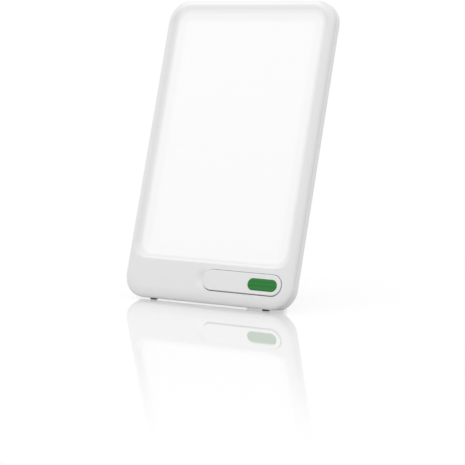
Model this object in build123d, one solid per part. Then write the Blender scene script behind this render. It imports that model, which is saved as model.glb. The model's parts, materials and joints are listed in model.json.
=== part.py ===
"""A tablet-shaped light therapy lamp that leans back on a fold-out leg.

The panel is modelled lying on its back: X runs across it, Y runs up it, and
depth is measured down from its front crest, so depth d lies at z = -d.
stand_up() then raises it to its lean. The finished part has +Z up, its front
facing -Y, and its origin on the table under the middle of its bounding box.
All sizes are in millimetres and all angles in degrees.
"""

from build123d import *
import math
import os

# Panel
PANEL_W = 155.0
PANEL_H = 245.0
CORNER_R = 18.0
WALL = 2.2
SEAM_D = 5.3            # depth of the seam between the two shells
BODY_D = 14.3           # depth of the rear shell's back
FRONT_ROUND = 3.5
BACK_ROUND = 4.0
LEAN = 16.5             # how far the panel leans back from upright
FLOOR_GAP = 1.6         # height of the bottom seam above the table

# Tongue of the front shell, inside the rear shell
TONGUE_T = 0.95
TONGUE_L = 1.7
TONGUE_GAP = 0.15

# Window and the dished frame round it
WINDOW_SIDE = 10.6      # from the panel's edge, at the sides and the top
WINDOW_OVER_KEY = 0.6   # from the key's opening to the dish's edge
WINDOW_R = 10.5
RAMP_W = 6.0
RAMP_D = 2.0
LIP_W = 5.0             # thick lip behind the ramp
LIP_D = 4.2

# Diffuser
DIFFUSER_GAP = 0.15
BAND_W = 5.5            # sloping border of the diffuser
FIELD_D = 3.2
DIFFUSER_T = 2.0
FLANGE_W = 1.6
FLANGE_T = 1.5

# Light box
TRAY_GROW = 1.6         # tray's outside, beyond the window
TRAY_WALL = 1.2
TRAY_FLOOR = 0.8
BOARD_T = 1.2
BOARD_INSET = 4.9       # LED board's edge, inside the window's edge
BOARD_R = 6.0
LED_EDGE = 4.0          # least space between the LEDs and the board's edge
LED_PITCH_X = 18.0
LED_PITCH_V = 19.0
LED_W = 3.5
LED_H = 2.8
LED_T = 0.75
LED_GAP = 0.6           # round each LED in the tray's floor

# Case screws
SCREW_R = 1.0
SCREW_HEAD_R = 1.6
SCREW_HEAD_GAP = 0.15
SCREW_HEAD_T = 1.4
SCREW_L = 6.0
BOSS_R = 2.3
BOSS_GAP = 0.3          # from the rear shell's thick lower wall
BOSS_SEAT_T = 1.65      # of a rear post, in front of the screw's head
PILOT_GAP = 0.05
PILOT_DEEP = 0.3        # of a pilot hole, past the screw's tip
COUNTERBORE_IN = 1.5    # the screw's seat, in front of the back's inside
LOW_SCREW_X = 40.0
TOP_BOSS_GAP = 0.5      # from the diffuser's flange

# Key
KEY_SIDE = 9.5          # in from the panel's right side
KEY_BOSS_GAP = 0.2      # the key's flange, from the screw bosses below it
KEY_L = 70.2
KEY_H = 15.4
KEY_PROUD = 0.8
KEY_T = 1.4
KEY_GAP = 0.4
KEY_EDGE = 0.7
FLANGE_OUT = 1.0        # the key's retaining flange, beyond its skirt
FLANGE_SLACK = 0.2
KEY_FLANGE_T = 1.0
KEY_FLANGE_IN = 10.2    # where the flange starts, from the key's left end
KEY_PRESS = 2.0         # degrees
PIVOT_IN = 4.7          # key's pivot, from its left end
PIVOT_DEPTH = 5.0
KNUCKLE_R = 1.9
KEY_PIN_R = 0.8
PIN_GAP = 0.05
EAR_T = 2.2
EAR_GAP = 0.3
SCOOP_R = 11.0
SCOOP_DEPTH = 0.8

# Green pad in the key
PAD_RIGHT = 17.7        # from the key's middle
PAD_UP = 0.2
PAD_L = 27.7
PAD_H = 9.3
PAD_T = 0.95
PAD_POCKET = 0.8
PAD_GAP = 0.1

# Push switch under the key
KEY_ARM = 39.5          # from the key's pivot to the switch
SWITCH_UP = 1.2         # from the key's middle
SWITCH_W = 7.0
SWITCH_D = 9.0
SWITCH_H = 7.0
PLUNGER_R = 1.4
PLUNGER_FRONT = 5.0
PLUNGER_L = 7.0
PLUNGER_GAP = 0.15
POST_R = 1.8
POST_SLACK = 0.15

# Pod on the rear shell
POD_SIDE = 20.5         # in from the panel's sides
POD_BOTTOM = 12.0
POD_ABOVE = 12.0        # above the leg's recess
POD_R = 12.0
POD_D = 27.0
POD_ROUND = 4.0
RECESS_SIDE = 1.5       # beside the leg's pad
RECESS_ABOVE = 10.0     # above the hinge
RECESS_FLOOR_GAP = 0.5  # in front of the leg's barrel
LABEL_W = 60.0
LABEL_H = 22.0
LABEL_ABOVE = 20.0      # above the pod
LABEL_DEEP = 0.4
VENT_COUNT = 5
VENT_PITCH = 8.0
VENT_L = 20.0
VENT_H = 2.4
VENT_X = 39.0
VENT_V = 122.0

# Leg
HINGE_V = 150.0
HINGE_IN = 5.0          # in front of the pod's back
LEG_ANGLE = 12.3        # leg's slope from upright when it is open
LEG_W = 34.0
LEG_FOOT_W = 36.0
LEG_T = 6.0
LEG_SHELL = 2.0
LEG_RIBS = 3
LEG_CORNER_R = 1.2
BARREL_R = 4.2
HINGE_PIN_R = 2.0
HINGE_BORE_GAP = 0.05
WASHER_T = 0.8
WASHER_R = 4.0
WASHER_GAP = 0.1
HINGE_BOSS = 1.8
CLIP_T = 0.6
CLIP_R = 2.7
GROOVE_DEPTH = 0.4
GROOVE_GAP = 0.05
CLIP_MOUTH = 2.2
PIN_END = 0.7
HEEL_H = 7.0
HEEL_GAP = 0.1
LEG_PAD_T = 4.0
LEG_PAD_OVER = 0.5      # beyond the leg, all round

# Front feet
FOOT_X = 52.5
FOOT_D = 10.2
FOOT_W = 5.0
FOOT_DEEP = 4.2
FOOT_R = 1.0
FOOT_SEAT = 0.8
FOOT_GAP = 0.1
BOTTOM_WALL = 5.0       # thick lower wall of the rear shell

# Control board, in the left chamber of the pod
CONTROL_SIDE = 1.8      # from the pod's side wall
BOARD_RECESS_GAP = 2.8  # both boards, from the recess's wall
CONTROL_UP = 8.0        # above the pod's lower edge
CONTROL_H = 72.0
CONTROL_STAND = 1.0     # in front of the pod's back wall
PCB_T = 1.2
PCB_SCREW_R = 0.9
PCB_HEAD_R = 1.7
PCB_HEAD_T = 1.2
PCB_POST_R = 2.4
PCB_SCREW_IN = 3.0      # from a board's edges
LINK_IN = 5.0           # connectors, from a board's edges
SWITCH_LINK_GAP = 1.3   # connector, above the switch
CONTROL_SCREW_L = 3.4
SWITCH_SCREW_L = 5.0

# Switch board, in the right chamber
SWITCH_BOARD_SIDE = 4.8  # from the pod's side wall
SWITCH_BOARD_LOW = 0.5  # below the switch
SWITCH_BOARD_H = 18.0

# Power inlet, a barrel jack in the pod's left side
JACK_UP = 10.0          # above the control board's lower edge
JACK_NOSE_R = 3.8
JACK_BORE_R = 2.75
JACK_BORE_L = 9.5
JACK_PIN_R = 1.05
JACK_PIN_BACK = 2.0
JACK_PIN_SHY = 1.0
JACK_L = 13.0
JACK_W = 10.0
JACK_GAP = 0.15

# Parts on the boards
CONNECTOR_W = 6.0
CONNECTOR_H = 4.0
CONTROL_CONNECTOR_T = 4.0
SWITCH_CONNECTOR_T = 1.8
INDUCTOR_R = 5.0
INDUCTOR_T = 6.0
CAPACITOR_R = 4.0
CAPACITOR_GAP = 2.3     # in front of a capacitor
IC_W = 6.0
IC_H = 5.0
IC_T = 1.6
INDUCTOR_AT = (5.0, 50.0)       # from the control board's middle and lower edge
CAPACITORS_AT = ((-7.0, 28.0), (3.0, 28.0))
IC_AT = (-7.0, 48.0)

# Leads
WIRE_R = 0.5
WIRE_STEP = 1.2         # between the two wires of a lead
LIGHT_LEAD_RISE = 5.0

# Worked-out sizes
BACK_IN = BODY_D - WALL
POD_IN = POD_D - WALL
COUNTERBORE_D = BACK_IN - COUNTERBORE_IN
BOSS_END_D = COUNTERBORE_D - BOSS_SEAT_T
LOW_SCREW_V = BOTTOM_WALL + BOSS_GAP + BOSS_R
KEY_V = LOW_SCREW_V + BOSS_R + KEY_BOSS_GAP + FLANGE_OUT + KEY_H / 2
KEY_X = PANEL_W / 2 - KEY_SIDE - KEY_L / 2
KEY_LEFT = KEY_X - KEY_L / 2
KEY_PIVOT_X = KEY_LEFT + PIVOT_IN
KEY_SKIRT_D = WALL + FLANGE_SLACK + KEY_FLANGE_T
PAD_X = KEY_X + PAD_RIGHT
PAD_V = KEY_V + PAD_UP
SWITCH_X = KEY_PIVOT_X + KEY_ARM
SWITCH_V = KEY_V + SWITCH_UP
WINDOW_BOTTOM = KEY_V + KEY_H / 2 + KEY_GAP + WINDOW_OVER_KEY + RAMP_W
WINDOW_W = PANEL_W - 2 * WINDOW_SIDE
WINDOW_TOP = PANEL_H - WINDOW_SIDE
WINDOW_H = WINDOW_TOP - WINDOW_BOTTOM
WINDOW_MID = (WINDOW_TOP + WINDOW_BOTTOM) / 2
FLANGE_BACK = LIP_D + FLANGE_T
BOARD_FRONT = BACK_IN - BOARD_T
LED_COLUMNS = 1 + int((WINDOW_W - 2 * (BOARD_INSET + LED_EDGE) - LED_W) / LED_PITCH_X)
LED_ROWS = 1 + int((WINDOW_H - 2 * (BOARD_INSET + LED_EDGE) - LED_H) / LED_PITCH_V)
HINGE_D = POD_D - HINGE_IN
RECESS_W = LEG_FOOT_W + 2 * (LEG_PAD_OVER + RECESS_SIDE)
RECESS_TOP = HINGE_V + RECESS_ABOVE
RECESS_D = HINGE_D - BARREL_R - RECESS_FLOOR_GAP
POD_TOP = RECESS_TOP + POD_ABOVE
LABEL_V = POD_TOP + LABEL_ABOVE + LABEL_H / 2
POD_W = PANEL_W - 2 * POD_SIDE
CHAMBER_IN = RECESS_W / 2 + WALL        # the pod's chambers run between these, either side
CHAMBER_OUT = POD_W / 2 - WALL
CONTROL_W = CHAMBER_OUT - CONTROL_SIDE - CHAMBER_IN - BOARD_RECESS_GAP
CONTROL_X = -CHAMBER_OUT + CONTROL_SIDE + CONTROL_W / 2
CONTROL_V0 = POD_BOTTOM + CONTROL_UP
CONTROL_V1 = CONTROL_V0 + CONTROL_H
CONTROL_SEAT = POD_IN - CONTROL_STAND
CONTROL_D = CONTROL_SEAT - PCB_T
CAPACITOR_T = CONTROL_D - BACK_IN - CAPACITOR_GAP
JACK_V = CONTROL_V0 + JACK_UP
JACK_D = CONTROL_D - JACK_NOSE_R
SWITCH_SEAT = SWITCH_D + SWITCH_H
SWITCH_BOARD_BACK = SWITCH_SEAT + PCB_T
SWITCH_BOARD_X0 = CHAMBER_IN + BOARD_RECESS_GAP
SWITCH_BOARD_X1 = CHAMBER_OUT - SWITCH_BOARD_SIDE
SWITCH_BOARD_V0 = SWITCH_V - SWITCH_W / 2 - SWITCH_BOARD_LOW
SWITCH_BOARD_V1 = SWITCH_BOARD_V0 + SWITCH_BOARD_H
FOLD = LEAN + LEG_ANGLE
RISE = FLOOR_GAP + SEAM_D * math.sin(math.radians(LEAN))
HINGE_Z = (HINGE_V * math.cos(math.radians(LEAN))
           - HINGE_D * math.sin(math.radians(LEAN)) + RISE)
LEG_L = HINGE_Z / math.cos(math.radians(LEG_ANGLE))
TOP_SCREW_REACH = WINDOW_R + max(FLANGE_W, TRAY_GROW) + TOP_BOSS_GAP + BOSS_R
TOP_SCREW_X = WINDOW_W / 2 - WINDOW_R + TOP_SCREW_REACH * math.sqrt(0.5)
TOP_SCREW_V = WINDOW_TOP - WINDOW_R + TOP_SCREW_REACH * math.sqrt(0.5)
CASE_SCREWS = [(side * x, v) for side in (-1, 1)
               for x, v in ((LOW_SCREW_X, LOW_SCREW_V), (TOP_SCREW_X, TOP_SCREW_V))]
CONTROL_SCREWS = [(CONTROL_X + side * (CONTROL_W / 2 - PCB_SCREW_IN), CONTROL_V1 - PCB_SCREW_IN)
                  for side in (-1, 1)]
SWITCH_SCREWS = [(x, SWITCH_BOARD_V1 - PCB_SCREW_IN)
                 for x in (SWITCH_BOARD_X0 + PCB_SCREW_IN, SWITCH_BOARD_X1 - PCB_SCREW_IN)]
CONTROL_LINK = (CONTROL_X + CONTROL_W / 2 - LINK_IN, CONTROL_V0 + LINK_IN)
SWITCH_LINK = (SWITCH_BOARD_X0 + LINK_IN,
               SWITCH_V + SWITCH_W / 2 + SWITCH_LINK_GAP + CONNECTOR_H / 2)
LIGHT_LINK = (CONTROL_X, CONTROL_V1 - LINK_IN)

STANDING = Location((0, 0, RISE), (90 - LEAN, 0, 0))
OPEN_LEG = Location((0, HINGE_V, -HINGE_D), (FOLD, 0, 0))
FAR = 400.0             # longer than the whole lamp


# Drawing helpers

def slab(outline, front, back):
    """An outline made solid between two depths."""
    return extrude(Pos(0, 0, -back) * outline, amount=back - front)


def peg(x, v, radius, front, back):
    """A cylinder along the panel's depth."""
    return slab(Pos(x, v) * Circle(radius), front, back)


def block(x0, x1, v0, v1, front, back):
    """A box between two corners of the panel and two depths."""
    middle = Pos((x0 + x1) / 2, (v0 + v1) / 2)
    return slab(middle * Rectangle(x1 - x0, v1 - v0), front, back)


def rod_across(x0, x1, v, depth, radius):
    """A cylinder along X."""
    return Pos(x0, v, -depth) * Rot(0, 90, 0) * extrude(Circle(radius), amount=x1 - x0)


def rod_up(x, v0, v1, depth, radius):
    """A cylinder up the panel."""
    return Pos(x, v0, -depth) * Rot(-90, 0, 0) * extrude(Circle(radius), amount=v1 - v0)


def panel_outline(inset=0.0):
    shape = RectangleRounded(PANEL_W - 2 * inset, PANEL_H - 2 * inset, CORNER_R - inset)
    return Pos(0, PANEL_H / 2) * shape


def window_outline(grow=0.0):
    shape = RectangleRounded(WINDOW_W + 2 * grow, WINDOW_H + 2 * grow, WINDOW_R + grow)
    return Pos(0, WINDOW_MID) * shape


def pod_outline(inset=0.0):
    height = POD_TOP - POD_BOTTOM
    shape = RectangleRounded(POD_W - 2 * inset, height - 2 * inset, POD_R - inset)
    return Pos(0, POD_BOTTOM + height / 2) * shape


def key_outline(grow=0.0):
    return Pos(KEY_X, KEY_V) * SlotOverall(KEY_L + 2 * grow, KEY_H + 2 * grow)


def pad_outline(grow=0.0):
    return Pos(PAD_X, PAD_V) * SlotOverall(PAD_L + 2 * grow, PAD_H + 2 * grow)


def dished(outer, outer_depth, inner, inner_depth):
    """The tapering space between an outline and a smaller one behind it."""
    return loft([Pos(0, 0, -inner_depth) * inner, Pos(0, 0, -outer_depth) * outer], ruled=True)


def level(shape):
    """A shape drawn on the table, seen from the panel's own frame."""
    return STANDING.inverse() * shape


def screw(x, v, seat, length, radius, head_radius, head_length, head_side):
    """A screw along the depth; head_side is -1 for a head in front of its seat."""
    if head_side < 0:
        return peg(x, v, head_radius, seat - head_length, seat) + peg(x, v, radius, seat, seat + length)
    return peg(x, v, head_radius, seat, seat + head_length) + peg(x, v, radius, seat - length, seat)


# Shells

def front_housing():
    shell = slab(panel_outline(), 0, SEAM_D)
    shell = fillet(shell.faces().sort_by(Axis.Z)[-1].edges(), FRONT_ROUND)
    hollow = slab(panel_outline(WALL), WALL, SEAM_D) - slab(window_outline(LIP_W), WALL, LIP_D)
    shell -= hollow
    tongue_out = WALL - TONGUE_T
    tongue = slab(panel_outline(tongue_out), SEAM_D, SEAM_D + TONGUE_L)
    shell += tongue - slab(panel_outline(WALL), SEAM_D, SEAM_D + TONGUE_L)
    for x, v in CASE_SCREWS:
        shell += peg(x, v, BOSS_R, WALL, BOSS_END_D)
        shell -= peg(x, v, SCREW_R + PILOT_GAP, COUNTERBORE_D - SCREW_L - PILOT_DEEP, BOSS_END_D)
    shell -= dished(window_outline(RAMP_W), 0, window_outline(), RAMP_D)
    shell -= slab(window_outline(), 0, LIP_D)
    shell -= slab(key_outline(KEY_GAP), -KEY_PROUD, WALL)
    scoop_ball = (SCOOP_R ** 2 + SCOOP_DEPTH ** 2) / (2 * SCOOP_DEPTH)
    shell -= Pos(KEY_LEFT, KEY_V, scoop_ball - SCOOP_DEPTH) * Sphere(scoop_ball)
    return shell + key_ears()


def ear_reach():
    """From the key's middle to the ears, which stand just clear of its opening."""
    return math.sqrt((KEY_H / 2 + KEY_GAP) ** 2 - (KEY_H / 2 - PIVOT_IN) ** 2) + EAR_GAP


def key_ears():
    """Two ears behind the front face that hold the key's pin."""
    reach = ear_reach()
    ears = []
    for inner, outer in ((KEY_V - reach, KEY_V - reach - EAR_T), (KEY_V + reach, KEY_V + reach + EAR_T)):
        low, high = sorted((inner, outer))
        ear = block(KEY_PIVOT_X - KNUCKLE_R, KEY_PIVOT_X + KNUCKLE_R, low, high, WALL, PIVOT_DEPTH)
        ear += rod_up(KEY_PIVOT_X, low, high, PIVOT_DEPTH, KNUCKLE_R)
        ears.append(ear - rod_up(KEY_PIVOT_X, low, high, PIVOT_DEPTH, KEY_PIN_R + PIN_GAP))
    return ears


def rear_housing():
    shell = slab(panel_outline(), SEAM_D, BODY_D)
    shell = fillet(shell.faces().sort_by(Axis.Z)[0].edges(), BACK_ROUND)
    pod = slab(pod_outline(), BODY_D - WALL, POD_D)
    shell += fillet(pod.faces().sort_by(Axis.Z)[0].edges(), POD_ROUND)
    rebate = WALL - TONGUE_T - TONGUE_GAP
    rebate_end = SEAM_D + TONGUE_L + TONGUE_GAP
    shell -= slab(panel_outline(rebate), SEAM_D, rebate_end)
    hollow = slab(panel_outline(WALL), SEAM_D, BACK_IN)
    hollow -= block(-PANEL_W, PANEL_W, 0, BOTTOM_WALL, rebate_end, BACK_IN)
    shell -= hollow
    shell -= slab(pod_outline(WALL), BACK_IN - WALL, POD_IN) - recess_box(WALL, POD_D)
    shell -= recess_box(0, POD_D + WALL)
    for x, v in CASE_SCREWS:
        shell += peg(x, v, BOSS_R, BOSS_END_D, BACK_IN)
        shell -= peg(x, v, SCREW_HEAD_R + SCREW_HEAD_GAP, COUNTERBORE_D, BODY_D)
        shell -= peg(x, v, SCREW_R + PIN_GAP, BOSS_END_D, COUNTERBORE_D)
    shell = add_hinge_bosses(shell)
    shell = add_board_posts(shell)
    shell -= rod_across(-POD_W / 2, -POD_W / 2 + WALL, JACK_V, JACK_D, JACK_NOSE_R + JACK_GAP)
    shell -= block(-LABEL_W / 2, LABEL_W / 2, LABEL_V - LABEL_H / 2, LABEL_V + LABEL_H / 2,
                   BODY_D - LABEL_DEEP, BODY_D)
    for side in (-1, 1):
        for row in range(VENT_COUNT):
            vent = Pos(side * VENT_X, VENT_V + (row - (VENT_COUNT - 1) / 2) * VENT_PITCH)
            shell -= slab(vent * SlotOverall(VENT_L, VENT_H), POD_IN, POD_D)
    shell -= level(Pos(0, 0, FLOOR_GAP - FAR / 2) * Box(FAR, FAR, FAR))
    for foot in (-1, 1):
        shell -= foot_shape(foot, FOOT_GAP, FLOOR_GAP + FOOT_SEAT)
    return shell


def recess_box(grow, back):
    """The leg's recess, open at the pod's back and bottom."""
    half = RECESS_W / 2 + grow
    return block(-half, half, 0, RECESS_TOP + grow, RECESS_D - grow, back)


def add_hinge_bosses(shell):
    """Bosses beside the recess, bored with it for the leg's pin."""
    wall = RECESS_W / 2
    for x0, x1 in ((wall, wall + WALL + HINGE_BOSS), (-wall - WALL - HINGE_BOSS, -wall)):
        shell += rod_across(x0, x1, HINGE_V, HINGE_D, BARREL_R)
        shell -= rod_across(x0, x1, HINGE_V, HINGE_D, HINGE_PIN_R + HINGE_BORE_GAP)
    return shell


def add_board_posts(shell):
    """Posts on the pod's back wall that carry the two small boards."""
    for spots, seat, length in ((CONTROL_SCREWS, CONTROL_SEAT, CONTROL_SCREW_L),
                                (SWITCH_SCREWS, SWITCH_BOARD_BACK, SWITCH_SCREW_L)):
        for x, v in spots:
            shell += peg(x, v, PCB_POST_R, seat, POD_IN)
            shell -= peg(x, v, PCB_SCREW_R + PILOT_GAP, seat, seat - PCB_T + length + PILOT_DEEP)
    return shell


def foot_shape(side, grow, top):
    """One front foot's block, from the table up to a height."""
    y = (FOOT_D * math.cos(math.radians(LEAN))
         + (FOOT_D - SEAM_D) * math.tan(math.radians(LEAN)) * math.sin(math.radians(LEAN)))
    outline = RectangleRounded(FOOT_W + 2 * grow, FOOT_DEEP + 2 * grow, FOOT_R + grow)
    return level(extrude(Pos(side * FOOT_X, y) * outline, amount=top))


def front_feet():
    return [foot_shape(side, 0, FLOOR_GAP + FOOT_SEAT) for side in (-1, 1)]


# Light box

def diffuser():
    face = window_outline(-DIFFUSER_GAP)
    field = window_outline(-DIFFUSER_GAP - BAND_W)
    plate = slab(face, RAMP_D, FLANGE_BACK) - dished(face, RAMP_D, field, FIELD_D)
    plate -= slab(field, RAMP_D, FIELD_D)
    plate += slab(window_outline(FLANGE_W), LIP_D, FLANGE_BACK)
    return plate - slab(field, FIELD_D + DIFFUSER_T, FLANGE_BACK)


def led_spots():
    return [((column - (LED_COLUMNS - 1) / 2) * LED_PITCH_X,
             WINDOW_MID + (row - (LED_ROWS - 1) / 2) * LED_PITCH_V)
            for column in range(LED_COLUMNS) for row in range(LED_ROWS)]


def reflector_tray():
    tray = slab(window_outline(TRAY_GROW), FLANGE_BACK, BOARD_FRONT)
    tray -= slab(window_outline(TRAY_GROW - TRAY_WALL), FLANGE_BACK, BOARD_FRONT - TRAY_FLOOR)
    holes = Sketch() + [Pos(x, v) * Rectangle(LED_W + 2 * LED_GAP, LED_H + 2 * LED_GAP)
                        for x, v in led_spots()]
    return tray - slab(holes, BOARD_FRONT - TRAY_FLOOR, BOARD_FRONT)


def led_board():
    outline = RectangleRounded(WINDOW_W - 2 * BOARD_INSET, WINDOW_H - 2 * BOARD_INSET, BOARD_R)
    return slab(Pos(0, WINDOW_MID) * outline, BOARD_FRONT, BACK_IN)


def led_packages():
    return [block(x - LED_W / 2, x + LED_W / 2, v - LED_H / 2, v + LED_H / 2,
                  BOARD_FRONT - LED_T, BOARD_FRONT) for x, v in led_spots()]


# Key and switch

def key():
    body = slab(key_outline(), -KEY_PROUD, KEY_SKIRT_D)
    body = fillet(body.faces().sort_by(Axis.Z)[-1].edges(), KEY_EDGE)
    flange_front = WALL + FLANGE_SLACK
    flange = slab(key_outline(FLANGE_OUT), flange_front, flange_front + KEY_FLANGE_T)
    body += flange - block(KEY_LEFT - KEY_H, KEY_LEFT + KEY_FLANGE_IN, 0, KEY_V * 2, 0, BODY_D)
    body -= slab(key_outline(-KEY_T), KEY_T - KEY_PROUD, KEY_SKIRT_D)
    body -= slab(pad_outline(PAD_GAP), -KEY_PROUD, PAD_POCKET - KEY_PROUD)
    barrel = ear_reach() - EAR_GAP
    web = math.sqrt((KEY_H / 2) ** 2 - (KEY_H / 2 - PIVOT_IN + KNUCKLE_R) ** 2)
    body += rod_up(KEY_PIVOT_X, KEY_V - barrel, KEY_V + barrel, PIVOT_DEPTH, KNUCKLE_R)
    body += block(KEY_PIVOT_X - KNUCKLE_R, KEY_PIVOT_X + KNUCKLE_R, KEY_V - web, KEY_V + web,
                  KEY_T - KEY_PROUD, PIVOT_DEPTH)
    body += peg(SWITCH_X, SWITCH_V, POST_R, KEY_T - KEY_PROUD, PLUNGER_FRONT - POST_SLACK)
    return body - rod_up(KEY_PIVOT_X, 0, KEY_V * 2, PIVOT_DEPTH, KEY_PIN_R + PIN_GAP)


def key_pin():
    reach = ear_reach() + EAR_T
    return rod_up(KEY_PIVOT_X, KEY_V - reach, KEY_V + reach, PIVOT_DEPTH, KEY_PIN_R)


def green_pad():
    front = PAD_POCKET - KEY_PROUD - PAD_T
    return slab(pad_outline(), front, PAD_POCKET - KEY_PROUD)


def switch_plunger():
    return peg(SWITCH_X, SWITCH_V, PLUNGER_R, PLUNGER_FRONT, PLUNGER_FRONT + PLUNGER_L)


def switch_body():
    half = SWITCH_W / 2
    case = block(SWITCH_X - half, SWITCH_X + half, SWITCH_V - half, SWITCH_V + half,
                 SWITCH_D, SWITCH_SEAT)
    travel = (SWITCH_X - KEY_PIVOT_X) * math.radians(KEY_PRESS)
    hole_end = PLUNGER_FRONT + PLUNGER_L + travel + 2 * PLUNGER_GAP
    return case - peg(SWITCH_X, SWITCH_V, PLUNGER_R + PLUNGER_GAP, SWITCH_D, hole_end)


def switch_board():
    board = block(SWITCH_BOARD_X0, SWITCH_BOARD_X1, SWITCH_BOARD_V0, SWITCH_BOARD_V1,
                  SWITCH_SEAT, SWITCH_BOARD_BACK)
    for x, v in SWITCH_SCREWS:
        board -= peg(x, v, PCB_SCREW_R + PIN_GAP, SWITCH_SEAT, SWITCH_BOARD_BACK)
    return board


# Electrics

def control_board():
    board = block(CONTROL_X - CONTROL_W / 2, CONTROL_X + CONTROL_W / 2, CONTROL_V0, CONTROL_V1,
                  CONTROL_D, CONTROL_SEAT)
    for x, v in CONTROL_SCREWS:
        board -= peg(x, v, PCB_SCREW_R + PIN_GAP, CONTROL_D, CONTROL_SEAT)
    return board


def board_screws():
    control = [screw(x, v, CONTROL_D, CONTROL_SCREW_L, PCB_SCREW_R, PCB_HEAD_R, PCB_HEAD_T, -1)
               for x, v in CONTROL_SCREWS]
    switch = [screw(x, v, SWITCH_SEAT, SWITCH_SCREW_L, PCB_SCREW_R, PCB_HEAD_R, PCB_HEAD_T, -1)
              for x, v in SWITCH_SCREWS]
    return control + switch


def case_screws():
    return [screw(x, v, COUNTERBORE_D, SCREW_L, SCREW_R, SCREW_HEAD_R, SCREW_HEAD_T, 1)
            for x, v in CASE_SCREWS]


def dc_jack():
    outside = -POD_W / 2
    inside = outside + WALL + JACK_GAP
    body = block(inside, inside + JACK_L, JACK_V - JACK_W / 2, JACK_V + JACK_W / 2,
                 JACK_D - JACK_NOSE_R, CONTROL_D)
    body += rod_across(outside, inside, JACK_V, JACK_D, JACK_NOSE_R)
    body -= rod_across(outside, outside + JACK_BORE_L, JACK_V, JACK_D, JACK_BORE_R)
    bore_end = outside + JACK_BORE_L
    return body - rod_across(bore_end, bore_end + JACK_PIN_BACK, JACK_V, JACK_D, JACK_PIN_R)


def jack_pin():
    start = -POD_W / 2 + JACK_PIN_SHY
    end = -POD_W / 2 + JACK_BORE_L + JACK_PIN_BACK
    return rod_across(start, end, JACK_V, JACK_D, JACK_PIN_R)


def connector(spot, board_front, height):
    x, v = spot
    return block(x - CONNECTOR_W / 2, x + CONNECTOR_W / 2, v - CONNECTOR_H / 2, v + CONNECTOR_H / 2,
                 board_front - height, board_front)


def lead_connectors():
    return [connector(CONTROL_LINK, CONTROL_D, CONTROL_CONNECTOR_T),
            connector(LIGHT_LINK, CONTROL_D, CONTROL_CONNECTOR_T),
            connector(SWITCH_LINK, SWITCH_SEAT, SWITCH_CONNECTOR_T)]


def on_control_board(spot):
    return CONTROL_X + spot[0], CONTROL_V0 + spot[1]


def power_inductor():
    return peg(*on_control_board(INDUCTOR_AT), INDUCTOR_R, CONTROL_D - INDUCTOR_T, CONTROL_D)


def smoothing_capacitors():
    return [peg(*on_control_board(spot), CAPACITOR_R, CONTROL_D - CAPACITOR_T, CONTROL_D)
            for spot in CAPACITORS_AT]


def driver_chip():
    x, v = on_control_board(IC_AT)
    return block(x - IC_W / 2, x + IC_W / 2, v - IC_H / 2, v + IC_H / 2, CONTROL_D - IC_T, CONTROL_D)


def wire(route):
    """A wire along straight runs joined by arcs as large as the runs allow."""
    points = [Vector(x, v, -depth) for x, v, depth in route]
    runs = [b - a for a, b in zip(points, points[1:])]
    radii = []
    for before, after in zip(runs, runs[1:]):
        shorter = min(before.length, after.length)
        radii.append(0.45 * shorter / math.tan(math.radians(before.get_angle(after) / 2)))
    print("wire radii", [round(radius, 1) for radius in radii])
    path = FilletPolyline(*points, radius=radii)
    section = Plane(origin=path @ 0, z_dir=path % 0) * Circle(WIRE_R)
    return sweep(section, path=path)


def switch_lead():
    """Two wires from the switch board, in front of the leg's recess, to the control board."""
    sx, sv = SWITCH_LINK
    cx, cv = CONTROL_LINK
    crossing = BACK_IN - 3.0
    start = SWITCH_SEAT - SWITCH_CONNECTOR_T
    end = CONTROL_D - CONTROL_CONNECTOR_T
    wires = []
    for side in (-WIRE_STEP / 2, WIRE_STEP / 2):
        wires.append(wire([(sx, sv + side, start), (sx, sv + side, start - 4.5),
                           (sx - 8, sv + side + 1.5, crossing), (sx - 22, sv + side - 0.5, crossing + 0.4),
                           (cx + 22, cv + side + 1.0, crossing), (cx + 8, cv + side - 1.0, crossing + 0.5),
                           (cx, cv + side, end - 5.5), (cx, cv + side, end)]))
    return wires


def light_lead():
    """Two wires from the control board up to the back of the LED board."""
    x, v = LIGHT_LINK
    front = CONTROL_D - CONTROL_CONNECTOR_T
    end_run = 0.37 * (front - BACK_IN)
    wires = []
    for side in (-WIRE_STEP, WIRE_STEP):
        wires.append(wire([(x + side, v, front), (x + side, v, front - end_run),
                           (x + side, v + LIGHT_LEAD_RISE, BACK_IN + end_run),
                           (x + side, v + LIGHT_LEAD_RISE, BACK_IN)]))
    return wires


# Leg, drawn folded with its pivot at the origin and its foot towards -Y

def leg_outline(inset=0.0):
    bottom = -LEG_L - LEG_T
    top = LEG_W / 2 - inset
    foot = LEG_FOOT_W / 2 - inset
    return Polygon((-top, -inset), (top, -inset), (foot, bottom), (-foot, bottom), align=None)


def leg():
    body = slab(leg_outline(), -LEG_T / 2, LEG_T / 2)
    body = fillet(body.faces().sort_by(Axis.Z)[0].edges(), LEG_CORNER_R)
    cavity_start = -BARREL_R - LEG_SHELL
    cavity_end = -LEG_L + LEG_PAD_T + 3 * LEG_SHELL
    hollow = slab(leg_outline(LEG_SHELL), -LEG_T / 2, LEG_T / 2 - LEG_SHELL)
    hollow &= block(-LEG_FOOT_W, LEG_FOOT_W, cavity_end, cavity_start, -LEG_T, LEG_T)
    bay = (cavity_start - cavity_end) / (LEG_RIBS + 1)
    for rib in range(1, LEG_RIBS + 1):
        y = cavity_start - rib * bay
        hollow -= block(-LEG_FOOT_W, LEG_FOOT_W, y - LEG_SHELL / 2, y + LEG_SHELL / 2, -LEG_T, LEG_T)
    body -= hollow
    half = RECESS_W / 2 - WASHER_T - 2 * WASHER_GAP
    body += rod_across(-half, half, 0, 0, BARREL_R)
    body += heel(half)
    body -= rod_across(-half, half, 0, 0, HINGE_PIN_R + HINGE_BORE_GAP)
    return body - below_leg(LEG_PAD_T)


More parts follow.
